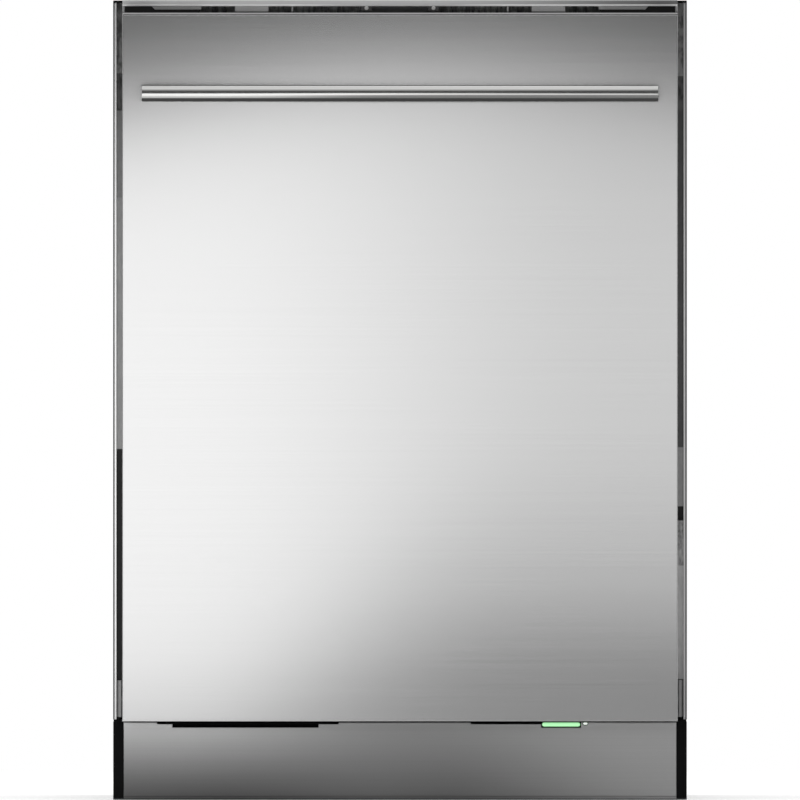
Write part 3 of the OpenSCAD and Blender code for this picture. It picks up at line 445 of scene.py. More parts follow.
class Value:
    """A socket whose operators add Math nodes to its graph."""

    def __init__(self, graph: "Graph", socket: bpy.types.NodeSocket) -> None:
        """Wraps one output socket of graph."""
        self.graph = graph
        self.socket = socket

    def math(self, operation: str, *others: "Value | float", swap: bool = False) -> "Value":
        """Adds one Math node.

        Args:
            operation: What the node does.
            others: Its further terms.
            swap: Whether the terms are taken in reverse order.

        Returns:
            The node's result.
        """
        terms = [self, *others][::-1 if swap else 1]
        return self.graph.value("ShaderNodeMath", {"operation": operation}, dict(enumerate(terms)))

    def __add__(self, other: "Value | float") -> "Value":
        """Sum."""
        return self.math("ADD", other)

    def __sub__(self, other: "Value | float") -> "Value":
        """Difference."""
        return self.math("SUBTRACT", other)

    def __rsub__(self, other: float) -> "Value":
        """Difference from a number."""
        return self.math("SUBTRACT", other, swap=True)

    def __mul__(self, other: "Value | float") -> "Value":
        """Product."""
        return self.math("MULTIPLY", other)

    def __truediv__(self, other: "Value | float") -> "Value":
        """Quotient."""
        return self.math("DIVIDE", other)

    __radd__ = __add__
    __rmul__ = __mul__

    def smooth(self, low: float, high: float) -> "Value":
        """0 below low, 1 above high, and a smooth step between them."""
        settings = {"interpolation_type": "SMOOTHSTEP"}
        return self.graph.value("ShaderNodeMapRange", settings, {0: self, 1: low, 2: high})

    def ramp(self, low: float, high: float) -> "Value":
        """0 below low, 1 above high, and a straight line between them."""
        return self.graph.value("ShaderNodeMapRange", {}, {0: self, 1: low, 2: high})

    def step(self, at: float, soft: float) -> "Value":
        """0 below at and 1 above it, with a smooth step that reaches soft to both sides."""
        return self.smooth(at - soft, at + soft)

    def within(self, low: float, high: float, soft: float) -> "Value":
        """1 between low and high and 0 outside, with soft edges."""
        return self.step(low, soft) * (1 - self.step(high, soft))


class Graph:
    """The nodes of one material or world."""

    def __init__(self, tree: bpy.types.NodeTree) -> None:
        """Works in the given tree."""
        self.tree = tree

    def connect(self, node: bpy.types.Node, inputs: dict[int | str, Any]) -> None:
        """Sets or links the sockets of a node.

        Args:
            node: The node.
            inputs: For each socket a number or colour, or a Value or a socket to link.
        """
        for key, given in inputs.items():
            source = given.socket if isinstance(given, Value) else given
            if isinstance(source, bpy.types.NodeSocket):
                self.tree.links.new(source, node.inputs[key])
            else:
                node.inputs[key].default_value = source

    def node(self, kind: str, settings: dict[str, Any] | None = None,
             inputs: dict[int | str, Any] | None = None) -> bpy.types.Node:
        """Adds a node.

        Args:
            kind: Type of the node.
            settings: Its own settings, which are made first.
            inputs: What its sockets hold, as for connect.

        Returns:
            The new node.
        """
        made = self.tree.nodes.new(kind)
        for key, setting in (settings or {}).items():
            setattr(made, key, setting)
        self.connect(made, inputs or {})
        return made

    def value(self, kind: str, settings: dict[str, Any], inputs: dict[int | str, Any],
              output: int | str = 0) -> Value:
        """One output of a new node, which is made as by the node method."""
        return Value(self, self.node(kind, settings, inputs).outputs[output])

    def coordinates(self, scale: Vec) -> bpy.types.NodeSocket:
        """The place on the object in metres, times scale."""
        place = self.node("ShaderNodeTexCoord").outputs["Object"]
        return self.node("ShaderNodeMapping", inputs={"Vector": place, "Scale": scale}).outputs[0]

    def noise(self, scale: Vec, detail: float = 2.0, rough: float = 0.5) -> Value:
        """Noise with scale features to the metre on each axis."""
        inputs = {"Vector": self.coordinates(scale), "Scale": 1.0, "Detail": detail, "Roughness": rough}
        return self.value("ShaderNodeTexNoise", {}, inputs)

    def cells(self, scale: float) -> Value:
        """Random grey of each cell of a cell pattern with scale cells to the metre."""
        inputs = {"Vector": self.coordinates((scale, scale, scale)), "Scale": 1.0}
        found = self.value("ShaderNodeTexVoronoi", {}, inputs, "Color")
        return self.value("ShaderNodeSeparateColor", {}, {0: found})

    def place(self, axis: Axis) -> Value:
        """One coordinate of the place on the object."""
        return self.value("ShaderNodeSeparateXYZ", {}, {0: self.coordinates((1.0, 1.0, 1.0))}, axis.value)

    def mix(self, factor: Value, low: Any, high: Any) -> Value:
        """Blends two colours by a value from 0 to 1."""
        return self.value("ShaderNodeMix", {"data_type": "RGBA"}, {0: factor, 6: low, 7: high}, 2)

    def bump(self, height: Value, strength: float, distance: float) -> Value:
        """Normal of a height pattern."""
        inputs = {"Strength": strength, "Distance": distance, "Height": height}
        return self.value("ShaderNodeBump", {}, inputs)


def new_material(name: str) -> tuple[bpy.types.Material, Graph]:
    """A new material and the graph of its nodes."""
    material = bpy.data.materials.new(name)
    material.use_nodes = True
    return material, Graph(material.node_tree)


Color = tuple[float, float, float]


def shade(color: Color | float, factor: float = 1.0) -> tuple[float, float, float, float]:
    """A colour, or a grey as one number, times a factor and with full alpha."""
    channels = (color,) * 3 if isinstance(color, float) else color
    return (*(min(1.0, channel * factor) for channel in channels), 1.0)


@dataclass(frozen=True)
class Finish:
    """Moulded, cast or painted surface: broad mottling, fine grain, and gloss that varies with both."""

    name: str
    color: Color | float
    roughness: float
    metallic: float = 0.0
    mottle: float = 0.07
    patch: float = 22.0
    grain: float = 900.0
    relief: float = 0.12
    relief_height: float = 0.0002
    coat: float = 0.0
    specular: float = 0.5

    def pattern(self, graph: Graph) -> tuple[Value, Value]:
        """The broad pattern of the colour and the fine one of the relief, both from 0 to 1."""
        broad = graph.noise((self.patch,) * 3, 3.0)
        fine = graph.noise((self.grain,) * 3)
        return broad * 0.7 + fine * 0.3, fine

    def tone(self, graph: Graph, pattern: Value) -> Value:
        """Base colour over the pattern."""
        low, high = shade(self.color, 1 - self.mottle), shade(self.color, 1 + self.mottle)
        return graph.mix(pattern.smooth(0.25, 0.75), low, high)

    def dimmed(self, graph: Graph, pattern: Value, level: Value, dark: float = 0.0) -> Value:
        """Base colour over the pattern, blended from a dark share of the colour by a level from 0 to 1, which
        lays painted light and shade on it.
        """
        return graph.mix(level, shade(self.color, dark), Finish.tone(self, graph, pattern))

    def extras(self, graph: Graph, shader: bpy.types.Node) -> None:
        """Further settings of one kind of finish."""

    def material(self) -> bpy.types.Material:
        """The finish as a material."""
        material, graph = new_material(self.name)
        shader = graph.tree.nodes["Principled BSDF"]
        pattern, relief = self.pattern(graph)
        spread = 0.25 * self.roughness
        graph.connect(shader, {
            "Metallic": self.metallic, "Coat Weight": self.coat, "Coat Roughness": 0.15,
            "Specular IOR Level": self.specular, "Base Color": self.tone(graph, pattern),
            "Roughness": pattern * spread + (self.roughness - spread / 2),
            "Normal": graph.bump(relief, self.relief, self.relief_height),
        })
        self.extras(graph, shader)
        return material


@dataclass(frozen=True)
class Brushed(Finish):
    """Sheet or bar ground in one direction: streaks long along the grain and fine across it."""

    along: Axis = Axis.X
    metallic: float = 1.0
    streak: float = 700.0
    band: float = 60.0
    mottle: float = 0.05
    relief: float = 0.05
    relief_height: float = 0.00008

    def stretched(self, across: float, along: float) -> Vec:
        """Features to the metre on each axis, given those across the grain and along it."""
        return tuple(along if axis is self.along else across for axis in Axis)

    def pattern(self, graph: Graph) -> tuple[Value, Value]:
        """Fine streaks and broader bands, both stretched along the grain."""
        fine = graph.noise(self.stretched(self.streak, 2.5), 3.0, 0.6)
        broad = graph.noise(self.stretched(self.band, 0.9))
        return fine * 0.8 + broad * 0.2, fine


@dataclass(frozen=True)
class ToeSheet(Brushed):
    """Brushed sheet with painted reflection and shade: darker towards the floor, most in the middle and on
    the left, with a painted highlight along its top edge.
    """

    def tone(self, graph: Graph, pattern: Value) -> Value:
        """Brushed tone times painted reflection and shade: a level that rises with height, whose ends depend
        on the place across, and a painted highlight at the top edge.

        Args:
            graph: The material's nodes.
            pattern: The broad pattern.

        Returns:
            The base colour.
        """
        x = graph.place(Axis.X)
        height = graph.place(Axis.Z).ramp(0.003, 0.079).math("POWER", 1.4)
        # Painted reflection and shade: the level at the floor and at the top, each set by the place across.
        foot = x.smooth(0.04, 0.28) * 0.42 + x.smooth(-0.2, 0.0) * 0.13 + 0.205
        top = x.smooth(0.0, 0.24) * 0.26 - x.smooth(-0.24, 0.0) * 0.24 + 0.87
        # The last factor paints a highlight along the kick's top edge.
        level = (foot + (top - foot) * height) * (1 + graph.place(Axis.Z).smooth(0.0745, 0.0795) * 0.16)
        return self.dimmed(graph, pattern, level)


@dataclass(frozen=True)
class PolishedBar(Brushed):
    """Polished bar that runs along X, with painted reflections: dark bands, and a dull underside painted dark
    as a reflection.
    """

    axis_z: float = 0.738
    radius: float = 0.0085

    def heights(self, graph: Graph) -> tuple[Value, Value]:
        """Height over the axis in radii, and 1 above the underside's stretch of painted dark reflection."""
        height = (graph.place(Axis.Z) - self.axis_z) * (1 / self.radius)
        return height, height.smooth(-0.67, -0.45)

    def tone(self, graph: Graph, pattern: Value) -> Value:
        """Polished tone with painted reflections: darker bands above and in the middle of the lower half, and
        a painted dark underside that keeps a trace of the tone.

        Args:
            graph: The material's nodes.
            pattern: The broad pattern.

        Returns:
            The base colour.
        """
        height, upper = self.heights(graph)
        middle = graph.place(Axis.X).smooth(-0.2, -0.02)
        # Painted reflections: dark bands of the surroundings that the polished bar would mirror.
        level = 1 - height.within(0.4, 0.82, 0.06) * 0.36
        level = level * (1 - height.within(0.3, 0.46, 0.05) * 0.35)
        level = level * (1 - height.within(-0.65, -0.2, 0.08) * middle * 0.64)
        return self.dimmed(graph, pattern, upper * level, 0.06)

    def extras(self, graph: Graph, shader: bpy.types.Node) -> None:
        """Makes the underside dull and not metallic, under its painted dark reflection."""
        upper = self.heights(graph)[1]
        graph.connect(shader, {"Metallic": upper, "Roughness": 0.75 - upper * (0.75 - self.roughness)})


@dataclass(frozen=True)
class RailSheet(Brushed):
    """Folded rail with painted light: a painted highlight along its lower edge, and painted shade that
    darkens the face towards its right end.
    """

    edge_z: float = 0.8317

    def tone(self, graph: Graph, pattern: Value) -> Value:
        """Brushed tone times painted light: the face's level of painted shade, or the painted highlight's
        level on the edge.

        Args:
            graph: The material's nodes.
            pattern: The broad pattern.

        Returns:
            The base colour.
        """
        x, z = graph.place(Axis.X), graph.place(Axis.Z)
        edge = 1 - z.step(self.edge_z, 0.0003)
        # Painted shade across the face, and a painted highlight on the lower edge.
        face = 0.7 - x.smooth(0.02, 0.3) * 0.48
        edge_highlight = x.math("ABSOLUTE").smooth(0.04, 0.11) * 0.3 + 0.66
        return self.dimmed(graph, pattern, face * (1 - edge) + edge_highlight * edge)


@dataclass(frozen=True)
class EdgedMoulding(Finish):
    """Dark moulding with a painted highlight on the lip along its front."""

    # Tone of the painted highlight on the lip.
    lip_highlight: float = 0.44
    front_y: float = -0.2667
    foot_z: float = 0.8214

    def tone(self, graph: Graph, pattern: Value) -> Value:
        """Moulding tone behind the lip, and the painted highlight's tone on it.

        Args:
            graph: The material's nodes.
            pattern: The broad pattern.

        Returns:
            The base colour.
        """
        lip = 1 - graph.place(Axis.Y).step(self.front_y, 0.0003)
        lip = lip * graph.place(Axis.Z).step(self.foot_z, 0.0002)
        return graph.mix(lip, super().tone(graph, pattern), shade(self.lip_highlight))


@dataclass(frozen=True)
class Flange(Brushed):
    """Front frame with painted reflection and shade: a bright lip, painted darker on the right, and behind it
    a flange with stretches painted lighter and darker, and painted cloudy reflections.
    """

    lip_y: float = -0.2055
    left: Line = ((0.126, 0.367, 0.014), (0.367, 0.63, 0.4), (0.63, 0.721, 0.3), (0.721, 0.76, 0.1),
                  (0.76, 0.836, 0.25))
    right: Line = ((0.126, 0.245, 0.7), (0.245, 0.292, 0.42), (0.296, 0.307, 0.008), (0.307, 0.3687, 0.38),
                   (0.3687, 0.757, 0.11), (0.757, 0.836, 0.33))
    side_x: float = 0.2885
    head: float = 0.4
    painted_cloud_foot: float = 0.721
    painted_cloud_right: Span = (0.245, 0.296)

    def tone(self, graph: Graph, pattern: Value) -> Value:
        """Brushed tone times painted reflection and shade: levels by height at the sides, one for the head,
        and painted clouds high up and in one stretch on the right.

        Args:
            graph: The material's nodes.
            pattern: The broad pattern.

        Returns:
            The base colour.
        """
        x, z = graph.place(Axis.X), graph.place(Axis.Z)
        right = x.step(0.0, 0.001)
        # Where painted cloudy reflections lie: high up, and in one stretch on the right.
        painted_cloud_mask = z.step(self.painted_cloud_foot, 0.003) + z.within(*self.painted_cloud_right, 0.001) * right
        clouds = graph.noise((160.0, 160.0, 60.0), 3.0, 0.7).smooth(0.35, 0.65) - 0.5
        patches = clouds * (painted_cloud_mask * 0.76 + 0.14) + 0.9
        # Painted reflection and shade: bands of level up each side.
        sides, *more = [z.within(low, high, 0.0006) * (level * side)
                        for rows, side in ((self.left, 1 - right), (self.right, right))
                        for low, high, level in rows]
        sides = sum(more, start=sides)
        # Painted shade across the head.
        head = z.smooth(0.8, 0.806) * (1 - x.math("ABSOLUTE").step(self.side_x, 0.0005))
        level = (sides * (1 - head) + head * self.head) * patches
        # The lip at full tone, painted darker on the right.
        lip = 1 - graph.place(Axis.Y).step(self.lip_y, 0.0005)
        return self.dimmed(graph, pattern, level * (1 - lip) + lip * (1 - right * 0.37))


@dataclass(frozen=True)
class Spangled(Finish):
    """Zinc-coated sheet under thin paint: flat crystals of slightly different grey."""

    crystal: float = 70.0

    def pattern(self, graph: Graph) -> tuple[Value, Value]:
        """Crystals, softened by noise."""
        cells = graph.cells(self.crystal)
        fine = graph.noise((self.grain,) * 3)
        return cells * 0.6 + graph.noise((self.patch,) * 3, 3.0) * 0.4, fine


@dataclass(frozen=True)
class Drawn(Finish):
    """Deep-drawn or cast steel: cloudy gloss with faint draw marks."""

    metallic: float = 1.0

    def pattern(self, graph: Graph) -> tuple[Value, Value]:
        """Clouds and faint upright marks."""
        clouds = graph.noise((9.0, 9.0, 6.0), 4.0, 0.6)
        marks = graph.noise((160.0, 160.0, 12.0))
        return clouds * 0.75 + marks * 0.25, graph.noise((self.grain,) * 3)


@dataclass(frozen=True)
class Lit(Finish):
    """Translucent lamp cover: brighter towards its middle height, and faintly glowing. On a part that is no
    lamp, the glow is painted light.
    """

    glow: float = 0.8
    centre: float = 0.0788
    half: float = 0.0029

    def extras(self, graph: Graph, shader: bpy.types.Node) -> None:
        """Glow that falls off towards the upper and lower edges.

        Args:
            graph: The material's nodes.
            shader: Its shader.
        """
        away = (graph.place(Axis.Z) - self.centre).math("ABSOLUTE") * (1 / self.half)
        color = graph.mix(1 - away.smooth(0.35, 1.0), shade(self.color, 0.35), shade(self.color))
        graph.connect(shader, {"Emission Strength": self.glow, "Emission Color": shade(0.0)})
        graph.connect(shader, {"Emission Color": color})


FINISHES: dict[str, Finish] = {made.name: made for made in (
    Brushed("door_steel", 0.6, 0.215, streak=1500.0, mottle=0.02, relief=0.012),
    ToeSheet("kick_steel", 0.56, 0.3, streak=1500.0, mottle=0.03, relief=0.015),
    Brushed("handle_steel", (0.68, 0.68, 0.67), 0.16, streak=900.0),
    Brushed("frame_steel", 0.62, 0.22, along=Axis.Z),
    Drawn("tub_steel", (0.62, 0.62, 0.61), 0.24),
    PolishedBar("bar_steel", (0.63, 0.63, 0.62), 0.2, streak=900.0, mottle=0.03, relief=0.02),
    Flange("flange_steel", 0.86, 0.3, metallic=0.6, along=Axis.Z),
    RailSheet("rail_steel", 0.86, 0.34, metallic=0.35, mottle=0.03, relief=0.02),
    Brushed("tab_steel", 0.36, 0.4, metallic=0.2, along=Axis.Z),
    Brushed("tab_pale", 0.38, 0.4, metallic=0.2, along=Axis.Z),
    Drawn("hinge_steel", 0.22, 0.35, metallic=0.6),
    EdgedMoulding("fascia_painted_highlight", (0.045, 0.046, 0.048), 0.42),
    Drawn("strike_dark", (0.3, 0.3, 0.305), 0.35, metallic=0.6),
    Drawn("spring_steel", (0.45, 0.45, 0.46), 0.28),
    Drawn("screw_steel", (0.62, 0.62, 0.6), 0.25),
    Spangled("casing", (0.055, 0.056, 0.058), 0.42, metallic=0.4, mottle=0.14, crystal=150.0),
    Brushed("rails_steel", 0.6, 0.22, along=Axis.Y),
    Drawn("filter_steel", (0.6, 0.6, 0.59), 0.22),
    Finish("base_black", (0.0025, 0.0025, 0.0027), 0.6, mottle=0.25, specular=0.08),
    Finish("foot_grey", (0.06, 0.06, 0.063), 0.45),
    Finish("seal_black", (0.022, 0.022, 0.023), 0.6, mottle=0.2, grain=500.0),
    Lit("light_green", (0.42, 0.88, 0.45), 0.25, coat=0.5),
    Finish("felt", (0.07, 0.07, 0.068), 0.95, mottle=0.5, patch=90.0, grain=400.0, relief=0.8,
           relief_height=0.001),
    Finish("fascia_grey", (0.05, 0.051, 0.053), 0.32, coat=0.15),
    Finish("button_grey", (0.32, 0.325, 0.33), 0.3, coat=0.2),
    Finish("plumbing_grey", (0.52, 0.52, 0.5), 0.4),
    Finish("spray_grey", (0.3, 0.31, 0.32), 0.38),
    Finish("sump_grey", (0.13, 0.133, 0.138), 0.42),
    Finish("white_plastic", (0.74, 0.74, 0.72), 0.36),
    Finish("rack_coat", (0.42, 0.43, 0.445), 0.3, mottle=0.04, coat=0.25),
    Finish("wheel_grey", (0.28, 0.285, 0.29), 0.4),
    Finish("tray_grey", (0.36, 0.365, 0.375), 0.36),
    # The rail tabs' steel at a dark level: painted shade.
    Brushed("tab_painted_shade", 0.07, 0.45, metallic=0.2),
    Finish("buffer_black", 0.003, 0.6, mottle=0.2, specular=0.15),
    Finish("screw_bright", (0.62, 0.62, 0.61), 0.3, metallic=0.4),
    Finish("smoked_lens", (0.05, 0.055, 0.065), 0.12, coat=0.6),
    Finish("window_black", (0.008, 0.008, 0.01), 0.1, coat=0.8, relief=0.03),
    Finish("pip_green", (0.16, 0.42, 0.18), 0.25, coat=0.4),
    Finish("rim_green", (0.05, 0.16, 0.06), 0.35),
    # The light sensor is no lamp: its glow is painted light.
    Lit("sensor_painted_glow", (0.8, 0.84, 0.8), 0.3),
)}


@lru_cache(maxsize=None)
def finish(slot: str) -> bpy.types.Material:
    """The material of a slot, made once."""
    return FINISHES[slot].material()


def slot_of(node: str) -> str:
    """The material slot of a node of the frame."""
    return next(row["material_slot"] for row in frame["record"]["subparts"] if row["node"] == node)


def put(name: str, data: bpy.types.ID) -> bpy.types.Object:
    """Puts a mesh, a lamp or a camera into the scene."""
    made = bpy.data.objects.new(name, data)
    bpy.context.scene.collection.objects.link(made)
    return made


def add_mesh(name: str, shells: Sequence[Shell]) -> bpy.types.Mesh:
    """Joins shells into one mesh, in metres.

    Args:
        name: Name of the mesh.
        shells: The closed surfaces, in millimetres.

    Returns:
        The mesh, smooth apart from its sharp edges.
    """
    counts = np.cumsum([0] + [len(s.points) for s in shells])
    faces = [face + start for s, start in zip(shells, counts) for face in s.faces]
    corners = np.concatenate([face.ravel() for face in faces]).astype(np.int32)
    totals = np.concatenate([np.full(len(face), face.shape[1]) for face in faces])
    starts = np.concatenate([[0], np.cumsum(totals)[:-1]]).astype(np.int32)
    points = (np.concatenate([s.points for s in shells]) * MM).astype(np.float32)
    mesh = bpy.data.meshes.new(name)
    mesh.vertices.add(len(points))
    mesh.vertices.foreach_set("co", points.ravel())
    mesh.loops.add(len(corners))
    mesh.loops.foreach_set("vertex_index", corners)
    mesh.polygons.add(len(totals))
    mesh.polygons.foreach_set("loop_start", starts)
    mesh.polygons.foreach_set("use_smooth", np.ones(len(totals), bool))
    mesh.update(calc_edges=True)
    mesh.set_sharp_from_angle(angle=SHARP)
    return mesh


def add_piece(name: str, body: str, shells: Sequence[Shell], slot: str = "", node: str = "",
              look: str = "") -> None:
    """Makes a formed piece of the object.

    Args:
        name: Name of the piece.
        body: The body that it moves with.
        shells: Its closed surfaces, in the frame.
        slot: The slot that it takes its finish from, where it isn't its node's own.
        node: The node of the frame that it stands for, if any.
        look: The finish where it isn't the slot's own.
    """
    slot = slot or slot_of(node)
    piece = put(name, add_mesh(name, shells))
    piece.data.materials.append(finish(look or slot))
    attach(piece, body)
    if node:
        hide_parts(node)
    LOG.info("%s: %d faces, on %s", name, len(piece.data.polygons), body)


@dataclass
class Studio:
    """Camera, lamps, world and floor, in metres."""

    door_face: float = Box.of("door_panel").lo[1] * MM
    frame_height: float = 0.8355
    centre_z: float = 0.41812
    lens: float = 1600.0
    sensor: float = 36.0
    floor_radius: float = 2.6
    floor_drop: float = 0.0002
    floor_lift: float = 0.35
    ambient: float = 0.72
    ceiling_place: Vec = (0.0, -0.4, 2.6)
    ceiling_size: float = 2.4
    ceiling_power: float = 8.0
    side_place: Vec = (2.1, 1.3, 1.9)
    side_aim: Vec = (0.3, 0.0, 0.45)
    side_size: float = 0.7
    side_power: float = 11.0
    front_fade: Span = (0.1, 0.6)
    band_foot: Span = (-0.6, -0.45)
    band_top: Span = (0.55, 0.75)
    band_dark: float = 0.87
    mirrored: float = 0.95
    card_x: Span = (-1.1, 1.0)
    card_y: float = -1.15
    card_top: Vec = (0.69, 0.09, 0.05, 0.38)
    card_foot: Span = (0.085, 0.19)
    card_soft: Span = (0.03, 0.082)
    card_rise: Span = (-0.24, 0.12)
    card_glow: Span = (1.0, 1.53)
    card_fade: Span = (-0.25, 0.25)
    card_low: float = 0.62
    card_columns: int = 64

    def camera(self) -> None:
        """Long lens in front, so far away that its picture is frame_height high at the door's face."""
        data = bpy.data.cameras.new("camera")
        data.lens, data.sensor_width, data.clip_end = self.lens, self.sensor, 300.0
        camera = put("camera", data)
        camera.location = (0.0, self.door_face - self.frame_height * self.lens / self.sensor, self.centre_z)
        camera.rotation_euler = (QUARTER, 0.0, 0.0)
        bpy.context.scene.camera = camera

    def lamp(self, name: str, place: Vec, aim: Vec, size: float, power: float) -> None:
        """Soft square lamp that the camera doesn't see.

        Args:
            name: Name of the lamp.
            place: Where it is.
            aim: A point that it faces.
            size: Length of its sides.
            power: Power in watts.
        """
        data = bpy.data.lights.new(name, "AREA")
        data.shape = "RECTANGLE"
        data.size = data.size_y = size
        data.energy = power
        lamp = put(name, data)
        lamp.location = place
        lamp.rotation_euler = (Vector(aim) - Vector(place)).to_track_quat("-Z", "Y").to_euler()
        lamp.visible_camera = False

    def lamps(self) -> None:
        """A dim panel overhead, and one behind each side, which brings out the casing's pressings."""
        x, y, _ = self.ceiling_place
        self.lamp("ceiling_panel", self.ceiling_place, (x, y, 0.0), self.ceiling_size, self.ceiling_power)
        for side in (-1, 1):
            place, aim = ((side * x, y, z) for x, y, z in (self.side_place, self.side_aim))
            self.lamp(f"side_panel_{side}", place, aim, self.side_size, self.side_power)

    def card(self) -> None:
        """Glowing card that the door's steel mirrors: brighter on the left, its foot rising to the right.

        Its top is a bell curve over x. Its foot is a smooth step over x, and the glow fades over a stretch
        on both sides of it, which is longer on the right.
        """
        x = np.linspace(*self.card_x, self.card_columns)
        start, end = self.card_rise
        step = np.clip((x - start) / (end - start), 0, 1)
        step = step * step * (3 - 2 * step)
        base, rise, centre, spread = self.card_top
        top = base + rise * np.exp(-((x - centre) / spread) ** 2)
        foot = self.card_foot[0] + self.card_foot[1] * step - self.card_soft[0] - self.card_soft[1] * step
        depth = np.full_like(x, self.card_y)
        points = np.concatenate([np.stack([x, depth, z], axis=-1) for z in (foot, top)])
        left = np.arange(self.card_columns - 1)
        faces = np.stack([left, left + 1, left + 1 + self.card_columns, left + self.card_columns], axis=-1)
        mesh = bpy.data.meshes.new("card")
        mesh.from_pydata(points.tolist(), [], faces.tolist())
        card = put("card", mesh)
        card.visible_camera = False
        material, graph = new_material("card_glow")
        graph.tree.nodes.clear()
        across, height = graph.place(Axis.X), graph.place(Axis.Z)
        low, high = self.card_glow
        full = high - across.smooth(*self.card_fade) * (high - low)
        right = across.smooth(start, end)
        away = height - (right * self.card_foot[1] + self.card_foot[0])
        lit = (away / (right * self.card_soft[1] + self.card_soft[0])).smooth(-1.0, 1.0)
        shader = graph.node("ShaderNodeEmission", inputs={1: lit * (full - self.card_low) + self.card_low})
        graph.node("ShaderNodeOutputMaterial", inputs={0: shader.outputs[0]})
        mesh.materials.append(material)

    def world(self) -> None:
        """White to the camera. In mirrors it is white too, but for a dark band above the front horizon."""
        world = bpy.data.worlds.new("studio")
        bpy.context.scene.world = world
        world.use_nodes = True
        graph = Graph(world.node_tree)
        graph.tree.nodes.clear()
        place = graph.node("ShaderNodeTexCoord").outputs["Generated"]
        split = graph.node("ShaderNodeSeparateXYZ", inputs={0: place})
        rise = Value(graph, split.outputs[2])
        front = (Value(graph, split.outputs[1]) * -1.0).smooth(*self.front_fade)
        band = rise.smooth(*self.band_foot) * (1 - rise.smooth(*self.band_top)) * front
        path = graph.node("ShaderNodeLightPath")
        camera, through, glossy = (Value(graph, path.outputs[f"Is {kind} Ray"])
                                   for kind in ("Camera", "Transmission", "Glossy"))
        seen = camera.math("MAXIMUM", through)
        lit = glossy * (self.mirrored - band * self.band_dark) + (1 - glossy) * self.ambient
        inputs = {0: shade(1.0), 1: seen + (1 - seen) * lit}
        shader = graph.node("ShaderNodeBackground", inputs=inputs)
        graph.node("ShaderNodeOutputWorld", inputs={0: shader.outputs[0]})

    def floor(self) -> None:
        """Pale round floor, lifted towards white where the camera sees it."""
        rings = placed(np.array([circle(r / MM, 96) for r in (0.01, self.floor_radius)]),
                       -self.floor_drop / MM, Axis.Z)
        floor = put("floor", add_mesh("floor", [loft(rings, ends=(True, False))]))
        material, graph = new_material("pale_floor")
        color = graph.mix(graph.noise((260.0,) * 3, 3.0), shade(0.86), shade(0.9))
        seen = graph.value("ShaderNodeLightPath", {}, {}, "Is Camera Ray")
        graph.connect(graph.tree.nodes["Principled BSDF"], {
            "Roughness": 0.8, "Base Color": color, "Emission Color": shade(1.0),
            "Emission Strength": seen * self.floor_lift,
        })
        floor.data.materials.append(material)

    def build(self) -> None:
        """Sets the studio up."""
        self.camera()
        self.lamps()
        self.card()
        self.world()
        self.floor()
        bpy.context.scene.view_settings.view_transform = "Standard"


@dataclass
class Sheetwork:
    """The nodes of the frame that stay: each gets its finish and rounded edges."""

    edges: dict[str, float] = field(default_factory=lambda: {
        "door_steel": 0.8, "kick_steel": 0.4, "casing": 0.2, "base_black": 0.8, "fascia_grey": 0.5,
        "tub_steel": 0.5, "white_plastic": 0.8,
    })
    looks: dict[str, str] = field(default_factory=lambda: {
        "front_frame": "flange_steel", "top_rail": "rail_steel", "worktop_brackets": "tab_steel",
        "strike_plate": "strike_dark", "hinge_brackets": "hinge_steel", "control_fascia": "fascia_painted_highlight",
    })
    thin: float = 0.25
    weld: float = 0.004
    segments: int = 2
    sharp: float = math.radians(35)

    def dress(self, node: str, slot: str) -> None:
        """Gives a node its slot's finish, and welds and rounds its edges.

        Args:
            node: The node.
            slot: Its material slot.
        """
        piece = frame["nodes"][node]
        piece.data.materials.clear()
        piece.data.materials.append(finish(self.looks.get(node, slot)))
        piece.modifiers.new("weld", "WELD").merge_threshold = self.weld * MM
        bevel = piece.modifiers.new("rounded", "BEVEL")
        bevel.width = self.edges.get(slot, self.thin) * MM
        bevel.segments = self.segments
        bevel.limit_method = "ANGLE"
        bevel.angle_limit = self.sharp
        bevel.use_clamp_overlap = True

    def build(self) -> None:
        """Dresses every node that no formed piece stands for."""
        for row in frame["record"]["subparts"]:
            if not frame["nodes"][row["node"]].hide_render:
                self.dress(row["node"], row["material_slot"])


@dataclass
class Handle:
    """Turned bar with chamfered ends on two posts with flared collars."""

    chamfer: float = 0.7
    collar: float = 2.5
    collar_depth: float = 3.0

    def bar(self) -> None:
        """Makes the bar: a profile with the same chamfer at both ends."""
        bar = Box.of("handle_bar")
        r, length, c = bar.size[2] / 2, bar.size[0], self.chamfer
        end = [(r - 2.2 * c, 0.0), (r - c, 0.15 * c), (r - 0.3 * c, 0.3 * c), (r, c)]
        line = [*end, (r, length / 2), *((wide, length - along) for wide, along in end[::-1])]
        tube = lathe(line, (bar.lo[0], *bar.mid[1:]), Axis.X, 96)
        add_piece("handle_tube", "door", [tube], node="handle_bar", look="bar_steel")

    def posts(self) -> None:
        """Makes the posts: a neck that flares into its collar at the door."""
        posts = Box.of("handle_posts")
        wide, length = posts.size[2] / 2, posts.size[1]
        c, d = self.collar, self.collar_depth
        line = [(wide - c, 0.0), (wide - c, length - 3 * d), (wide - 0.7 * c, length - 1.6 * d),
                (wide - 0.3 * c, length - 0.8 * d), (wide, length - 0.2), (wide, length)]
        stem = lathe(line, (posts.hi[0] - wide, posts.lo[1], posts.mid[2]), Axis.Y, 40)
        add_piece("handle_stems", "door", both_sides(stem), node="handle_posts")

    def build(self) -> None:
        """Makes the bar and the posts."""
        self.bar()
        self.posts()


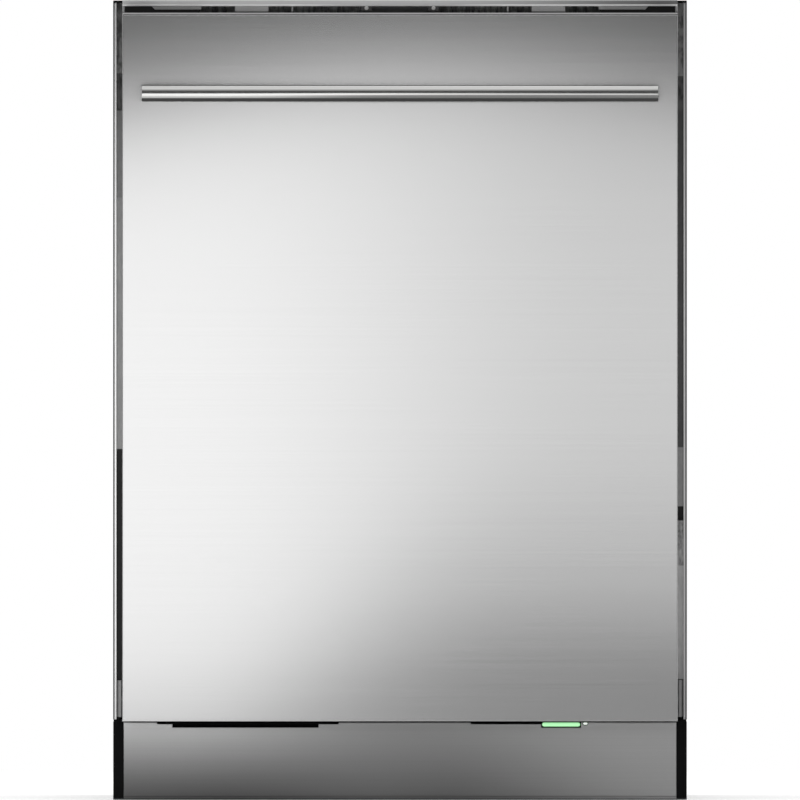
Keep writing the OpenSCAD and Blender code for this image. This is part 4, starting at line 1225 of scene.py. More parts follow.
@dataclass
class Basket:
    """Bent-wire basket: two layers of crossed U-shaped wires, a rounded rim, a middle ring and tines."""

    node: str
    name: str
    body: str
    half: float
    floor: float
    side: float
    front: float = Box.of("lower_rack").lo[1]
    back: float = Box.of("lower_rack").hi[1]
    wire_r: float = 2.0
    rim_r: float = 2.5
    tine_r: float = 1.6
    heel: float = 13.0
    corner: float = 24.0
    bays: int = 16
    tine_rows: tuple[int, ...] = (2, 12)
    tine_x: Vec = (-230.0, 12.0)
    tine_count: int = 10
    tine_pitch: float = 22.0
    tine_h: float = 70.0

    @property
    def edge(self) -> float:
        """Half the distance between the uprights of the two sides."""
        return self.half - self.wire_r

    @property
    def ends(self) -> Span:
        """Depth of the uprights in front and at the rear."""
        return self.front + self.wire_r, self.back - self.wire_r

    def cross_y(self, index: int) -> float:
        """Depth of one wire that runs across."""
        near, far = self.ends
        return near + (far - near) * index / self.bays

    def wires(self) -> list[Shell]:
        """U-shaped wires across, and under them U-shaped wires from front to rear."""
        top = self.floor + self.side - 0.6 * self.rim_r
        low = self.floor - 1.9 * self.wire_r
        edge, (near, far) = self.edge, self.ends
        made = []
        for i in range(1, self.bays):
            y, x = self.cross_y(i), edge * (2 * i / self.bays - 1)
            across = [(-edge, y, top), (-edge, y, self.floor), (edge, y, self.floor), (edge, y, top)]
            along = [(x, near, top), (x, near, low), (x, far, low), (x, far, top)]
            made += [wire(across, self.wire_r, Axis.Y.unit, self.heel),
                     wire(along, self.wire_r, Axis.X.unit, self.heel)]
        return made

    def ring(self, height: float, inset: float) -> Shell:
        """Closed wire ring with rounded corners.

        Args:
            height: Its height over the floor.
            inset: How far it lies inside the uprights.

        Returns:
            The ring.
        """
        x, near, far = self.edge - inset, self.ends[0] + inset, self.ends[1] - inset
        z = self.floor + height
        points = [(-x, near, z), (x, near, z), (x, far, z), (-x, far, z)]
        return wire(points, self.rim_r, Axis.Z.unit, self.corner - inset, loop=True, sides=10)

    def tines(self, start: float, y: float) -> list[Shell]:
        """A row of tines on a rod that lies on the floor's wires.

        Args:
            start: The first tine's place across.
            y: Depth of the row.

        Returns:
            The rod and its tines.
        """
        r, z = self.tine_r, self.floor + self.wire_r + self.tine_r
        tine_x = [start + i * self.tine_pitch for i in range(self.tine_count)]
        return [rod((start - 2 * r, y, z), (tine_x[-1] + 2 * r, y, z), r),
                *(rod((x, y, z), (x, y, z + self.tine_h - r), r) for x in tine_x)]

    def build(self) -> None:
        """Makes the basket in one piece."""
        shells = [*self.wires(), self.ring(self.side, 0.0),
                  self.ring(self.side / 2, self.wire_r + self.rim_r - 0.3)]
        for index in self.tine_rows:
            for start in self.tine_x:
                shells += self.tines(start, self.cross_y(index))
        add_piece(self.name, self.body, shells, node=self.node)


@dataclass
class LowerRack:
    """Lower basket with its grip, axle plates, axles, folding row of tines and wheels."""

    half: float = 250.0
    floor: float = 187.3
    side: float = 118.0
    plate_t: float = 4.0
    plate_half: float = 14.0
    axle_r: float = 4.0
    gap: float = 0.06
    wheel_wide: float = 10.0
    wheel_ribs: int = 6
    fold_row: int = 8
    grip_half: float = 70.0
    grip_ribs: int = 11
    grip_pitch: float = 10.0

    def axle_holders(self) -> None:
        """Rounded plates on the basket's sides, each with a boss and a pin that ends in a snap head."""
        outer, root, r = Box.of("lower_rack").hi[0], self.half + self.plate_t, self.axle_r
        shells = []
        for node in ("front_wheels", "rear_wheels"):
            wheel = Box.of(node)
            y, z = wheel.mid[1:]
            length, neck = outer - root + 1, wheel.hi[0] - root + 1
            pin = [(r, 0), (r, neck - 0.1), (r + 1.2, neck + 0.2), (r + 0.6, length - 0.5), (r - 0.8, length)]
            boss = [(r + 4, 0), (r + 3.4, 1.6), (r + 1, 2.2)]
            shells += [slab((self.half - 2, root), about(y, self.plate_half), (z - 2 * r, self.floor + 12),
                            Axis.X, 7, 1),
                       lathe(pin, (root - 1, y, z), Axis.X, 24), lathe(boss, (root - 0.2, y, z), Axis.X, 24)]
        add_piece("axle_holders", "lower_basket", both_sides(*shells), "wheel_grey")

    def grip(self) -> None:
        """Moulded grip that clips round the middle of the front rim, with a ribbed skirt."""
        y, top, half = Box.of("lower_rack").lo[1], self.floor + self.side, self.grip_half
        shells = [slab((-half, half), (y - 3, y + 9), (top - 7, top + 3.6), Axis.X, 4.5, 3, 4),
                  slab((8 - half, half - 8), (y - 3, y - 0.6), (top - 26, top - 2), Axis.Y, 6, 0.8)]
        for i in range(self.grip_ribs):
            x = (i - (self.grip_ribs - 1) / 2) * self.grip_pitch
            shells.append(slab(about(x, 1.5), (y - 4.2, y - 2), (top - 23, top - 9), Axis.Y, 1.4, 0.7))
        add_piece("lower_rack_grip", "lower_basket", shells, "wheel_grey")

    def wheels(self) -> None:
        """Wheels with a rounded tread, a thin web with ribs, and a bored hub."""
        for node, body in (("front_wheels", "front_wheel_pair"), ("rear_wheels", "rear_wheel_pair")):
            box = Box.of(node)
            r, bore, wide = box.size[2] / 2, self.axle_r + self.gap, self.wheel_wide
            left, y, z = box.hi[0] - wide, *box.mid[1:]
            hub, rim, web = bore + 3, r - 3.6, 3.2
            half = [(bore, 0), (hub - 0.5, 0), (hub, 0.5), (hub, web), (rim, web), (rim, 0.9),
                    (rim + 0.7, 0.2), (r - 1.3, 0.2), (r - 0.3, 1.1), (r, 2.6)]
            line = half + [(a, wide - h) for a, h in half[::-1]]
            rib = slab((left + 1, left + wide - 1), about(y, 0.9), (z + hub - 0.4, z + rim + 0.4), Axis.X,
                       0.3, 0.4, 1, 1)
            add_piece(node + "_moulded", body, both_sides(
                lathe(line, (left, y, z), Axis.X, 40, loop=True),
                *round_about(rib, self.wheel_ribs, Axis.X, (left, y, z))), node=node)

    def build(self) -> None:
        """Makes the lower rack, and last its row of tines that folds down."""
        basket = Basket("lower_rack", "lower_basket_wires", "lower_basket", self.half, self.floor, self.side)
        basket.build()
        self.axle_holders()
        self.grip()
        self.wheels()
        row = basket.tines(basket.tine_x[0], basket.cross_y(self.fold_row))
        add_piece("folding_tine_row", "tine_row", row, node="folding_tines")


@dataclass
class UpperRack:
    """Upper basket with its height adjusters, and the water tube under it that carries the spray arm."""

    half: float = 256.0
    floor: float = 545.0
    side: float = 120.0
    plate_y: Span = (-66.5, 103.5)
    plate_z: Span = (582.0, 630.0)
    tube_drop: float = 22.0
    tube_r: float = 9.0
    dock_r: float = 12.0
    post_r: float = 8.0
    collars: Vec = (46.0, 100.0, 154.0)

    def adjusters(self) -> None:
        """Side plates with a lever, a rail and two rivets, inside the plates of the frame."""
        outer = Box.of("upper_rack").hi[0]
        (front, back), (low, high) = self.plate_y, self.plate_z
        rivet = [(5, 0), (5, 1.0), (4, 1.5), (2.4, 1.5), (1.8, 0.7)]
        shells = [slab((self.half - 1.5, outer - 1.6), self.plate_y, self.plate_z, Axis.X, 9, 1.2, 3),
                  slab((outer - 3, outer), (front + 6, back - 6), (low + 16, low + 23), Axis.X, 3, 0.8),
                  *(lathe(rivet, (outer - 1.7, y, high - 10), Axis.X, 20) for y in (front + 16, back - 16)),
                  slab((self.half - 6, self.half - 1), (front + 52, front + 96), (high - 20, high - 8),
                       Axis.X, 5, 1.5)]
        add_piece("height_adjusters", "upper_basket", both_sides(*shells), "wheel_grey")

    def tube(self) -> None:
        """Water tube along the floor, flared at its dock, with the arm's post under a moulded saddle."""
        rack = Box.of("upper_rack")
        z, y = self.floor - self.tube_drop, Box.of("upper_spray_arm").mid[1]
        start, r, dock = y - 14, self.tube_r, self.dock_r
        length = rack.hi[1] - start
        line = [(r - 4, 0), (r - 1.4, 0.5), (r, 2.4), (r, length - 16), (r + 0.8, length - 14),
                (dock, length - 10), (dock, length - 1), (dock - 0.8, length), (dock - 3, length),
                (dock - 3, length - 5)]
        collar = [(r - 0.5, 0), (r + 1.1, 0.4), (r + 1.1, 2.6), (r - 0.5, 3)]
        p, cap = self.post_r, self.post_r + 4
        post = [(cap - 3, 0), (cap - 0.8, 0.3), (cap, 1.2), (cap, 4), (p, 4), (p, z - rack.lo[2])]
        add_piece("upper_water_tube", "upper_basket", [
            lathe(line, (0, start, z), Axis.Y, 40),
            *(lathe(collar, (0, start + back, z), Axis.Y, 40) for back in self.collars),
            slab((-7, 7), about(y, 12), (z, self.floor - 6.2), Axis.Z, 3, 1),
            lathe(post, (0, y, rack.lo[2]), Axis.Z, 40)], "plumbing_grey")

    def build(self) -> None:
        """Makes the upper rack."""
        Basket("upper_rack", "upper_basket_wires", "upper_basket", self.half, self.floor, self.side).build()
        self.adjusters()
        self.tube()


@dataclass
class SprayArm:
    """Spray arm: two tapered blades of rounded section from a bored hub, with raised jets on top."""

    node: str
    body: str
    bore: float
    root: float
    tip: float
    hub: float
    jets: int = 4
    lean: float = 2.5
    shy: float = 1.0
    jet_y: float = 2.5
    taper: float = 0.35

    def blade(self, centre: Array, reach: float, half_t: float) -> Shell:
        """One blade: superellipse sections, narrower towards the tip, where they follow a circle.

        Args:
            centre: Middle of the arm.
            reach: Distance from there to the tip.
            half_t: Half the thickness at the root.

        Returns:
            The blade along X.
        """
        end = self.tip / 2
        x = np.concatenate([np.linspace(self.bore + 3, reach - end, 14)[:-1],
                            reach - end + end * np.sin(np.linspace(0, QUARTER, 9))])
        run = x / reach
        blunt = np.sqrt(np.maximum(end ** 2 - np.maximum(x - reach + end, 0) ** 2, 0.4 ** 2))
        wide = np.minimum(self.root / 2 + (end - self.root / 2) * run, blunt)
        tall = half_t * (1 - self.taper * run ** 2) * np.sqrt(np.minimum(1.0, wide / end))
        cos, sin = circle(1.0, 24).T
        y = wide[:, None] * np.sign(cos) * np.abs(cos) ** 0.8 + self.lean * (run ** 2 - run ** 6)[:, None]
        z = tall[:, None] * np.sign(sin) * np.abs(sin) ** 0.9
        return loft(np.stack([np.broadcast_to(x[:, None], y.shape), y, z], axis=-1) + centre)

    def build(self) -> None:
        """Makes the arm."""
        box = Box.of(self.node)
        x, y, z = centre = box.mid
        reach, t = box.size[0] / 2, box.size[2]
        half_t = t / 2 - self.shy
        jet = [(4.2, 0), (4.0, 1.2), (3.2, 1.9), (2.0, 1.9), (1.4, 1.1)]
        shells = [self.blade(centre, reach, half_t)]
        for i in range(1, self.jets + 1):
            run = i / (self.jets + 0.6)
            top = half_t * (1 - self.taper * run ** 2)
            shells.append(lathe(jet, (x + reach * run, y + self.jet_y, z + top - 1.3), Axis.Z, 16))
        shells += [shell.turned(math.pi, Axis.Z, centre) for shell in shells]
        h, bore = self.hub, self.bore
        line = [(bore, 0), (h - 1.5, 0), (h, 1.5), (h, t - 2.5), (h - 2.5, t - 0.5), (bore + 2.5, t),
                (bore, t - 0.6)]
        shells.append(lathe(line, (x, y, box.lo[2]), Axis.Z, 48, loop=True))
        add_piece(self.node + "_moulded", self.body, shells, node=self.node)


@dataclass
class Springs:
    """Counterbalance springs: a close helix whose ends run in to the axis and on as straight hooks."""

    coil: float = 4.1
    wire_r: float = 0.9
    pitch: float = 2.7
    hook: float = 1.1
    axis_in: float = 5.0
    body_start: float = 18.2
    body_length: float = 216.0

    def build(self) -> None:
        """Makes both springs."""
        box = Box.of("door_springs")
        x, z = box.hi[0] - self.axis_in, box.mid[2]
        start = box.lo[1] + self.body_start
        y = np.arange(start, start + self.body_length, self.pitch / 12)
        turn = TURN * (y - y[0]) / self.pitch
        ease = np.clip(np.minimum(y - y[0], y[-1] - y) / (2 * self.pitch), 0, 1)
        radius = self.coil * ease * ease * (3 - 2 * ease)
        helix = np.stack([x + radius * np.cos(turn), y, z + radius * np.sin(turn)], axis=-1)
        shells = [sweep(helix, circle(self.wire_r, 6), Axis.Y.unit),
                  rod((x, box.lo[1], z), (x, start + self.pitch, z), self.hook),
                  rod((x, y[-1] - self.pitch, z), (x, box.hi[1], z), self.hook)]
        add_piece("door_spring_coils", "cabinet", both_sides(*shells), node="door_springs")


@dataclass
class Feet:
    """Levelling feet: ribbed moulded pads on threaded rods."""

    pad_h: float = 8.0
    pad_r: float = 22.0
    rod_r: float = 5.0
    ribs: int = 24

    def build(self) -> None:
        """Makes the three feet."""
        r, h, core = self.pad_r, self.pad_h, self.rod_r
        line = [(r - 3, 0), (r - 1, 0.3), (r - 0.2, 1.2), (r - 0.2, h * 0.55), (r - 1.2, h * 0.72),
                (r * 0.5, h * 0.92), (core + 2.5, h)]
        for place in ("front_left", "front_right", "rear"):
            node, body = "foot_" + place, place + "_foot"
            box = Box.of(node)
            x, y = box.mid[:2]
            pad = lathe(line, (x, y, 0), Axis.Z, self.ribs * 4, lobes=(self.ribs, 0.014))
            nut = plate(circle(core + 3.2, 6) + (x, y), h - 0.5, h + 3.5, Axis.Z)
            thread = threaded(core, 0.7, 1.6, box.hi[2] - h + 1, (x, y, h - 1), Axis.Z)
            add_piece(node + "_moulded", body, [pad, nut], slot_of(node))
            add_piece(node + "_rod", body, [thread], "screw_steel", node)


@dataclass
class Seals:
    """Bulb seal round the tub's mouth and the lip seal along the door's lower edge."""

    bulb: Line = ((-2.1, 2.8), (-2.1, 1.4), (-3.1, 0.9), (-3.3, -0.6), (-2.6, -1.9), (-1.4, -2.6),
                  (0.0, -2.8), (1.4, -2.6), (2.6, -1.9), (3.3, -0.6), (3.1, 0.9), (2.1, 1.4), (2.1, 2.8))
    lips: Line = ((2.8, -6.0), (2.8, 6.0), (1.6, 6.0), (-0.5, 5.4), (-2.6, 3.6), (-2.8, 2.6), (-0.8, 3.0),
                  (0.8, 1.2), (0.8, -0.6), (-2.4, -2.2), (-2.8, -3.4), (-0.6, -3.2), (1.2, -5.6))
    corner: float = 12.0

    def build(self) -> None:
        """Carries the bulb's outline up, across and down, and the lips' outline along the sill."""
        box = Box.of("tub_gasket")
        outline = np.array(self.bulb)
        half = outline[:, 0].max()
        x, z, y, low = box.hi[0] - half, box.hi[2] - half, box.mid[1], box.lo[2]
        line = bend([(-x, y, low), (-x, y, z), (x, y, z), (x, y, low)], self.corner, 10)
        add_piece("mouth_seal", "cabinet", [sweep(line, outline, Axis.Y.unit)], node="tub_gasket")
        box = Box.of("door_seal")
        sill = np.linspace((box.lo[0], *box.mid[1:]), (box.hi[0], *box.mid[1:]), 24)
        add_piece("sill_seal", "door", [sweep(sill, np.array(self.lips), Axis.Z.unit)], node="door_seal")


@dataclass
class CutleryTray:
    """Moulded tray: rounded rim, a floor lattice, notched combs that part the cutlery, a grip and runners."""

    half: float = 258.0
    wall: float = 3.0
    corner: float = 16.0
    rib: float = 2.4
    rib_h: float = 3.0
    long_ribs: int = 17
    cross_ribs: int = 13
    comb_runs: Vec = (0.2, 0.4, 0.6, 0.8)
    comb_h: float = 17.0
    comb_base: float = 7.0
    tooth: float = 16.0

    def rim(self, box: Box) -> Shell:
        """Wall of rounded rectangles, which turn over at the top with a bead on the outside.

        Args:
            box: The wall's box.

        Returns:
            The wall.
        """
        inner = self.wall + 0.8
        rows = ((0.8, 0.0), (0.8, 30.0), (0.0, 31.0), (0.0, 39.0), (0.6, 40.0), (inner - 0.4, 40.0),
                (inner, 39.2), (inner, 0.0))
        rows = [(inset, box.lo[2] + min(height, box.size[2])) for inset, height in rows]
        return stacked(box.size, self.corner, rows, box.mid, Axis.Z, 6, loop=True)

    def comb(self, box: Box, y: float) -> Shell:
        """Upright strip whose upper edge falls and rises in notches.

        Args:
            box: The tray's box.
            y: Depth of the strip.

        Returns:
            The strip.
        """
        reach = box.size[0] / 2 - self.wall - 1
        count = int(2 * reach / self.tooth)
        x = (np.arange(count) - (count - 1) / 2) * self.tooth
        low, base, top = box.lo[2] + (0, self.comb_base, self.comb_h)
        tooth_x = x[:, None] + self.tooth * np.array([-0.42, -0.18, 0.18, 0.42])
        tooth_z = np.broadcast_to([base, top, top, base], tooth_x.shape)
        edge = np.stack([tooth_z.ravel(), tooth_x.ravel()], axis=-1)
        outline = np.concatenate([[(low, -reach), (base, -reach)], edge, [(base, reach), (low, reach)]])
        return plate(outline, *about(y, self.rib / 2), Axis.Y)

    def build(self) -> None:
        """Makes the tray."""
        outer = Box.of("cutlery_tray")
        (x0, x1), (y0, y1), (z0, z1) = (-self.half, self.half), *zip(outer.lo[1:], outer.hi[1:])
        body = Box.span((x0, x1), (y0, y1), (z0, z1))
        inset, r, foot = self.wall * 0.6, self.rib / 2, (z0, z0 + self.rib_h)
        thin = (0.8, 0.1, 1, 2)
        shells = [self.rim(body)]
        shells += [slab(about(x, r), (y0 + inset, y1 - inset), foot, Axis.Y, *thin)
                   for x in np.linspace(x0, x1, self.long_ribs + 2)[1:-1]]
        shells += [slab((x0 + inset, x1 - inset), about(y, r), foot, Axis.X, *thin)
                   for y in np.linspace(y0, y1, self.cross_ribs + 2)[1:-1]]
        shells += [self.comb(body, y0 + run * (y1 - y0)) for run in self.comb_runs]
        shells.append(slab((-55, 55), (y0 - 3, y0 + 2), (z0 + 12, z0 + 28), Axis.Y, 6, 1.6, 3))
        shells += both_sides(slab((x1 - 1, outer.hi[0]), (y0 + 10, y1 - 4), (z0 + 16.3, z0 + 27.7), Axis.Y,
                                  2, 1.5))
        add_piece("cutlery_tray_moulded", "tray", shells, node="cutlery_tray")


@dataclass
class Filters:
    """Ribbed filter cup with its lid and finger grip, and the overflow float."""

    cup_r: float = 32.0
    wall: float = 2.0
    lobes: int = 36
    rim_h: float = 47.4
    cup_fins: int = 18
    bell_fins: int = 8
    bell_line: Line = ((3.2, 0.0), (4.0, 0.8), (4.0, 20.3), (20.8, 20.3), (22.0, 21.2), (22.0, 25.4),
                       (20.4, 29.6), (16.0, 32.0), (8.0, 33.0), (1.0, 33.0))

    def cup(self) -> None:
        """Cup whose wall waves round its girth, under a lid with radial ribs and a grip."""
        box = Box.of("coarse_filter")
        x, y, low = *box.mid[:2], box.lo[2]
        top, r, inner, tall = low + self.rim_h, self.cup_r, self.cup_r - self.wall, self.rim_h + 0.8
        wall = [(inner, 0), (r, 0), (r, tall), (inner, tall)]
        lid = [(r + 3.4, 0), (r + 4, 0.5), (r + 3.6, 1.6), (r - 2, 1.6), (r - 3, 0.9), (2, 0.9)]
        ear = [(5.4, 0), (5.4, 2.6), (4.4, 3.6), (1.5, 3.9)]
        fin = slab((x + 14, x + 28), about(y, 0.8), (top + 0.6, top + 1.9), Axis.Z, 0.7, 0.4, 1, 2)
        add_piece("filter_cup_moulded", "filter_cup", [
            lathe(wall, (x, y, low), Axis.Z, self.lobes * 4, True, (self.lobes, 0.012)),
            lathe(lid, (x, y, top), Axis.Z, 72), *round_about(fin, self.cup_fins, Axis.Z, (x, y, 0)),
            slab(about(x, 22), about(y, 3), (top + 0.6, box.hi[2]), Axis.Z, 2.8, 1.4, 3),
            *(lathe(ear, (ear_x, y, top + 0.6), Axis.Z, 24) for ear_x in about(x, 19))], node="coarse_filter")

    def float_bell(self) -> None:
        """Domed float on its stem, with radial ribs on the dome."""
        box = Box.of("float_cap")
        x, y, low = place = *box.mid[:2], box.lo[2]
        fin = slab((x + 6, x + 19), about(y, 0.8), (low + 28, low + 32.6), Axis.Y, 2, 0.4, 1, 3)
        bell = lathe(self.bell_line, place, Axis.Z, 64)
        add_piece("float_bell", "float", [bell, *round_about(fin, self.bell_fins, Axis.Z, place)],
                  node="float_cap")

    def build(self) -> None:
        """Makes the cup and the float."""
        self.cup()
        self.float_bell()


@dataclass
class Dispenser:
    """Sliding lid with a framed face and grip ridges, the knurled cap of the rinse aid tank, and its lens."""

    lid_t: float = 2.6
    ridges: int = 4
    ridge_pitch: float = 3.4
    cap_lobes: int = 30
    cap_line: Line = ((11.0, 0.0), (11.0, 7.0), (16.3, 7.0), (17.0, 7.7), (17.0, 9.6), (16.2, 10.6),
                      (12.2, 10.6), (11.0, 10.0), (2.0, 10.0))
    lens_line: Line = ((7.5, 0.0), (7.5, 0.9), (6.6, 1.4), (5.2, 1.2), (4.4, 1.9), (1.0, 2.5))
    lens_x: float = 55.0
    lens_z: float = 360.0

    def lid(self) -> None:
        """Rounded plate, a raised frame on it and ridges beside its free edge."""
        box = Box.of("dispenser_lid")
        (x0, y0, z0), (x1, y1, z1) = box.lo, box.hi
        face = y0 + self.lid_t
        rows = ((0.0, face - 0.3), (0.3, face + 0.5), (1.6, face + 0.5), (1.9, face - 0.3))
        size = (z1 - z0 - 14, x1 - x0 - 26)
        shells = [slab((x0, x1), (y0, face), (z0, z1), Axis.Y, 5, 1, 3),
                  stacked(size, 4, rows, box.mid - (6, 0, 0), Axis.Y, 5, 0.0, loop=True)]
        shells += [slab(about(x1 - 5 - self.ridge_pitch * i, 1), (face - 0.5, y1), (z0 + 20, z1 - 20), Axis.Y,
                        0.95, 0.6) for i in range(self.ridges)]
        add_piece("dispenser_lid_moulded", "detergent_lid", shells, node="dispenser_lid")

    def cap(self) -> None:
        """Cap with a waved edge and a rounded finger bar."""
        box = Box.of("rinse_cap")
        x, y, z = box.mid[0], box.lo[1], box.mid[2]
        cap = lathe(self.cap_line, (x, y, z), Axis.Y, self.cap_lobes * 4, lobes=(self.cap_lobes, 0.02))
        bar = slab(about(x, 13), (y + 9.6, box.hi[1]), about(z, 2.5), Axis.Y, 2.4, 1.2, 3)
        add_piece("rinse_cap_moulded", "rinse_aid_cap", [cap, bar], node="rinse_cap")

    def lens(self) -> None:
        """Sight lens of the tank."""
        face = Box.of("dispenser_lid").lo[1] - 0.5
        lens = lathe(self.lens_line, (self.lens_x, face, self.lens_z), Axis.Y, 40)
        add_piece("tank_sight_lens", "door", [lens], "plumbing_grey", look="smoked_lens")

    def build(self) -> None:
        """Makes the lid, the cap and the lens."""
        self.lid()
        self.cap()
        self.lens()


@dataclass
class Controls:
    """Dished keys, each with a small indicator, and the dark display window between them."""

    keys: tuple[str, ...] = ("power", "program", "option", "delay", "start")
    edge: float = 0.7
    corner: float = 3.4
    dish: float = 0.4
    pip: Line = ((1.3, -0.4), (1.3, 0.1), (0.9, 0.3), (0.2, 0.36))
    pip_in: float = 6.0
    window_half: float = 69.8

    def key(self, box: Box) -> Shell:
        """Rounded block whose top is drawn down inside a narrow rim.

        Args:
            box: The key's box.

        Returns:
            The key.
        """
        e, top = self.edge, box.hi[2]
        rows = ((0.0, box.lo[2]), (0.0, top - e), (0.3 * e, top - 0.3 * e), (e, top), (e + 0.5, top),
                (e + 1.4, top - 0.7 * self.dish), (e + 2.6, top - self.dish))
        return stacked(box.size, self.corner, rows, box.mid, Axis.Z, 6, 0.6)

    def build(self) -> None:
        """Makes the keys, their indicators and the window."""
        for name in self.keys:
            node, body = "button_" + name, name + "_key"
            box = Box.of(node)
            place = (box.hi[0] - self.pip_in, box.mid[1], box.hi[2] - self.dish)
            add_piece(node + "_cap", body, [self.key(box)], node=node)
            add_piece(node + "_indicator", body, [lathe(self.pip, place, Axis.Z, 20)], "light_green",
                      look="pip_green")
        key = Box.of("button_power")
        window = slab((-self.window_half, self.window_half), (key.lo[1] - 0.1, key.hi[1] + 0.1),
                      (key.hi[2] - 0.6, key.hi[2] - 0.1), Axis.Z, 1.5, 0.25)
        add_piece("display_window", "door", [window], "fascia_grey", look="window_black")


@dataclass
class KickDetails:
    """Status light in its dark rim, and the small sensor beside it, made bright by a painted glow."""

    rim: float = 0.75
    sensor_x: Span = (191.5, 196.2)
    sensor_z: Span = (78.6, 81.0)
    sensor_rim: float = 0.7

    def build(self) -> None:
        """Makes the light, its rim and the sensor."""
        box = Box.of("status_light")
        (x0, y0, z0), (x1, y1, z1) = box.lo, box.hi
        tall, rim = z1 - z0, self.rim
        lens = slab((x0 + rim, x1 - rim), (y0, y1), (z0 + rim, z1 - rim), Axis.Y, tall / 2, 1.1, 4, 8)
        rows = ((0.0, y1), (0.0, y0 + 0.9), (0.25, y0 + 0.5), (rim, y0 + 0.6), (rim, y1))
        bezel = stacked((tall, x1 - x0), tall / 2, rows, box.mid, Axis.Y, 8, 0.0, loop=True)
        add_piece("status_lens", "cabinet", [lens], node="status_light")
        add_piece("status_rim", "cabinet", [bezel], "light_green", look="rim_green")
        face = Box.of("toe_kick").lo[1]
        (x0, x1), (z0, z1), edge = self.sensor_x, self.sensor_z, self.sensor_rim
        sensor = slab((x0, x1), (face - 0.9, face + 0.5), (z0, z1), Axis.Y, 1.2, 0.8, 3, 6)
        ring = slab((x0 - edge, x1 + edge), (face - 0.5, face + 0.5), (z0 - edge, z1 + edge), Axis.Y,
                    1.6, 0.3, 2, 6)
        # The sensor's glow is painted light.
        add_piece("light_sensor", "cabinet", [sensor], "light_green", look="sensor_painted_glow")
        add_piece("sensor_rim", "cabinet", [ring], "light_green", look="rim_green")


@dataclass(frozen=True)
class Louvres:
    """Row of slots at the foot of the rear panel."""

    count: int = 8
    half: float = 60.0
    height: float = 4.0
    pitch: float = 10.0
    rise: float = 24.0

    def feet(self) -> Array:
        """Lower edge of each slot."""
        return Box.of("rear_panel").lo[2] + self.rise + self.pitch * np.arange(self.count)


@dataclass
class Rear:
    """Screws of the rear panel, hoods over its slots, and the ports at the foot."""

    screw_r: float = 4.0
    screw_h: float = 1.9
    screw_rows: int = 5
    louvres: Louvres = Louvres()
    lip: Line = ((0.4, 5.2), (-0.8, 4.8), (-1.5, 3.4), (-1.8, 1.6), (-1.8, 0.8), (-1.2, 0.8), (-1.1, 1.6),
                 (-0.8, 3.0), (-0.2, 4.2), (0.4, 4.4))
    hood_over: float = 3.0
    hood_run: Vec = (0.0, 1.0, 2.5, 4.5, 7.0)
    hood_size: Vec = (0.1, 0.55, 0.8, 0.95, 1.0)
    water: Span = (-200.0, 20.0)
    drain: Span = (-140.0, 18.0)
    cable: Span = (200.0, 18.0)
    flange: float = 3.0
    barbs: int = 5
    gland: Line = ((5.0, 0.0), (8.6, 0.0), (8.6, 5.4), (10.4, 5.6), (10.4, 7.2), (9.0, 8.6), (6.4, 9.2),
                   (5.0, 9.2))

    def screws(self) -> None:
        """Screws along the two upright edges."""
        box, r = Box.of("casing_screws"), self.screw_r
        heads = [cross_head((side * (box.hi[0] - r), box.lo[1], z), Axis.Y, r, self.screw_h)
                 for side in (-1, 1) for z in np.linspace(box.lo[2] + r, box.hi[2] - r, self.screw_rows)]
        add_piece("casing_screw_heads", "cabinet", heads, node="casing_screws")

    def hoods(self) -> None:
        """Half-round hoods over the slots: a curved lip carried along X, which shrinks at both ends."""
        y = Box.of("rear_panel").hi[1] - 0.1
        run = np.array(self.hood_run) - self.louvres.half - self.hood_over
        x = np.concatenate([run, -run[::-1]])
        scale = np.array([*self.hood_size, *self.hood_size[::-1]])
        hoods = [sweep(np.stack(np.broadcast_arrays(x, y, z), axis=-1), np.array(self.lip), Axis.Z.unit,
                       scale=scale) for z in self.louvres.feet()]
        add_piece("louvre_hoods", "cabinet", hoods, slot_of("rear_panel"))

    def ports(self) -> None:
        """Threaded water inlet, barbed drain spigot and cable gland, each on a screwed flange."""
        box = Box.of("rear_ports")
        back, z, t = box.lo[1], box.mid[2], self.flange
        shells = []
        for x, half in (self.water, self.drain, self.cable):
            rows = ((0.0, back), (0.0, back + t - 0.8), (0.8, back + t))
            shells.append(stacked((2 * half, 2 * half), 5, rows, (x, 0, z), Axis.Y, 7))
            shells += [cross_head((screw_x, back + t - 0.1, screw_z), Axis.Y, 2.6, 1.5)
                       for screw_x in about(x, half - 5) for screw_z in about(z, half - 5)]
        face = back + t - 0.2
        rings = [ring for h in 3.6 * np.arange(self.barbs)
                 for ring in ((10.5, 6.4 + h), (10.5, 7.0 + h), (9.5, 9.8 + h))]
        spigot = [(7.0, 0.0), (9.6, 0.0), (9.6, 6.0), *rings, (9.2, 26.0), (7.0, 26.0)]
        shells += [threaded(13.2, 1.2, 1.8, 18, (self.water[0], face, z), Axis.Y, 40, 9.5),
                   lathe(spigot, (self.drain[0], face, z), Axis.Y, 40, loop=True),
                   lathe(self.gland, (self.cable[0], face, z), Axis.Y, 48, loop=True),
                   plate(circle(11, 6) + (z, self.cable[0]), face, back + t + 5, Axis.Y)]
        add_piece("rear_ports_moulded", "cabinet", shells, node="rear_ports")

    def build(self) -> None:
        """Makes the rear's pieces."""
        self.screws()
        self.hoods()
        self.ports()


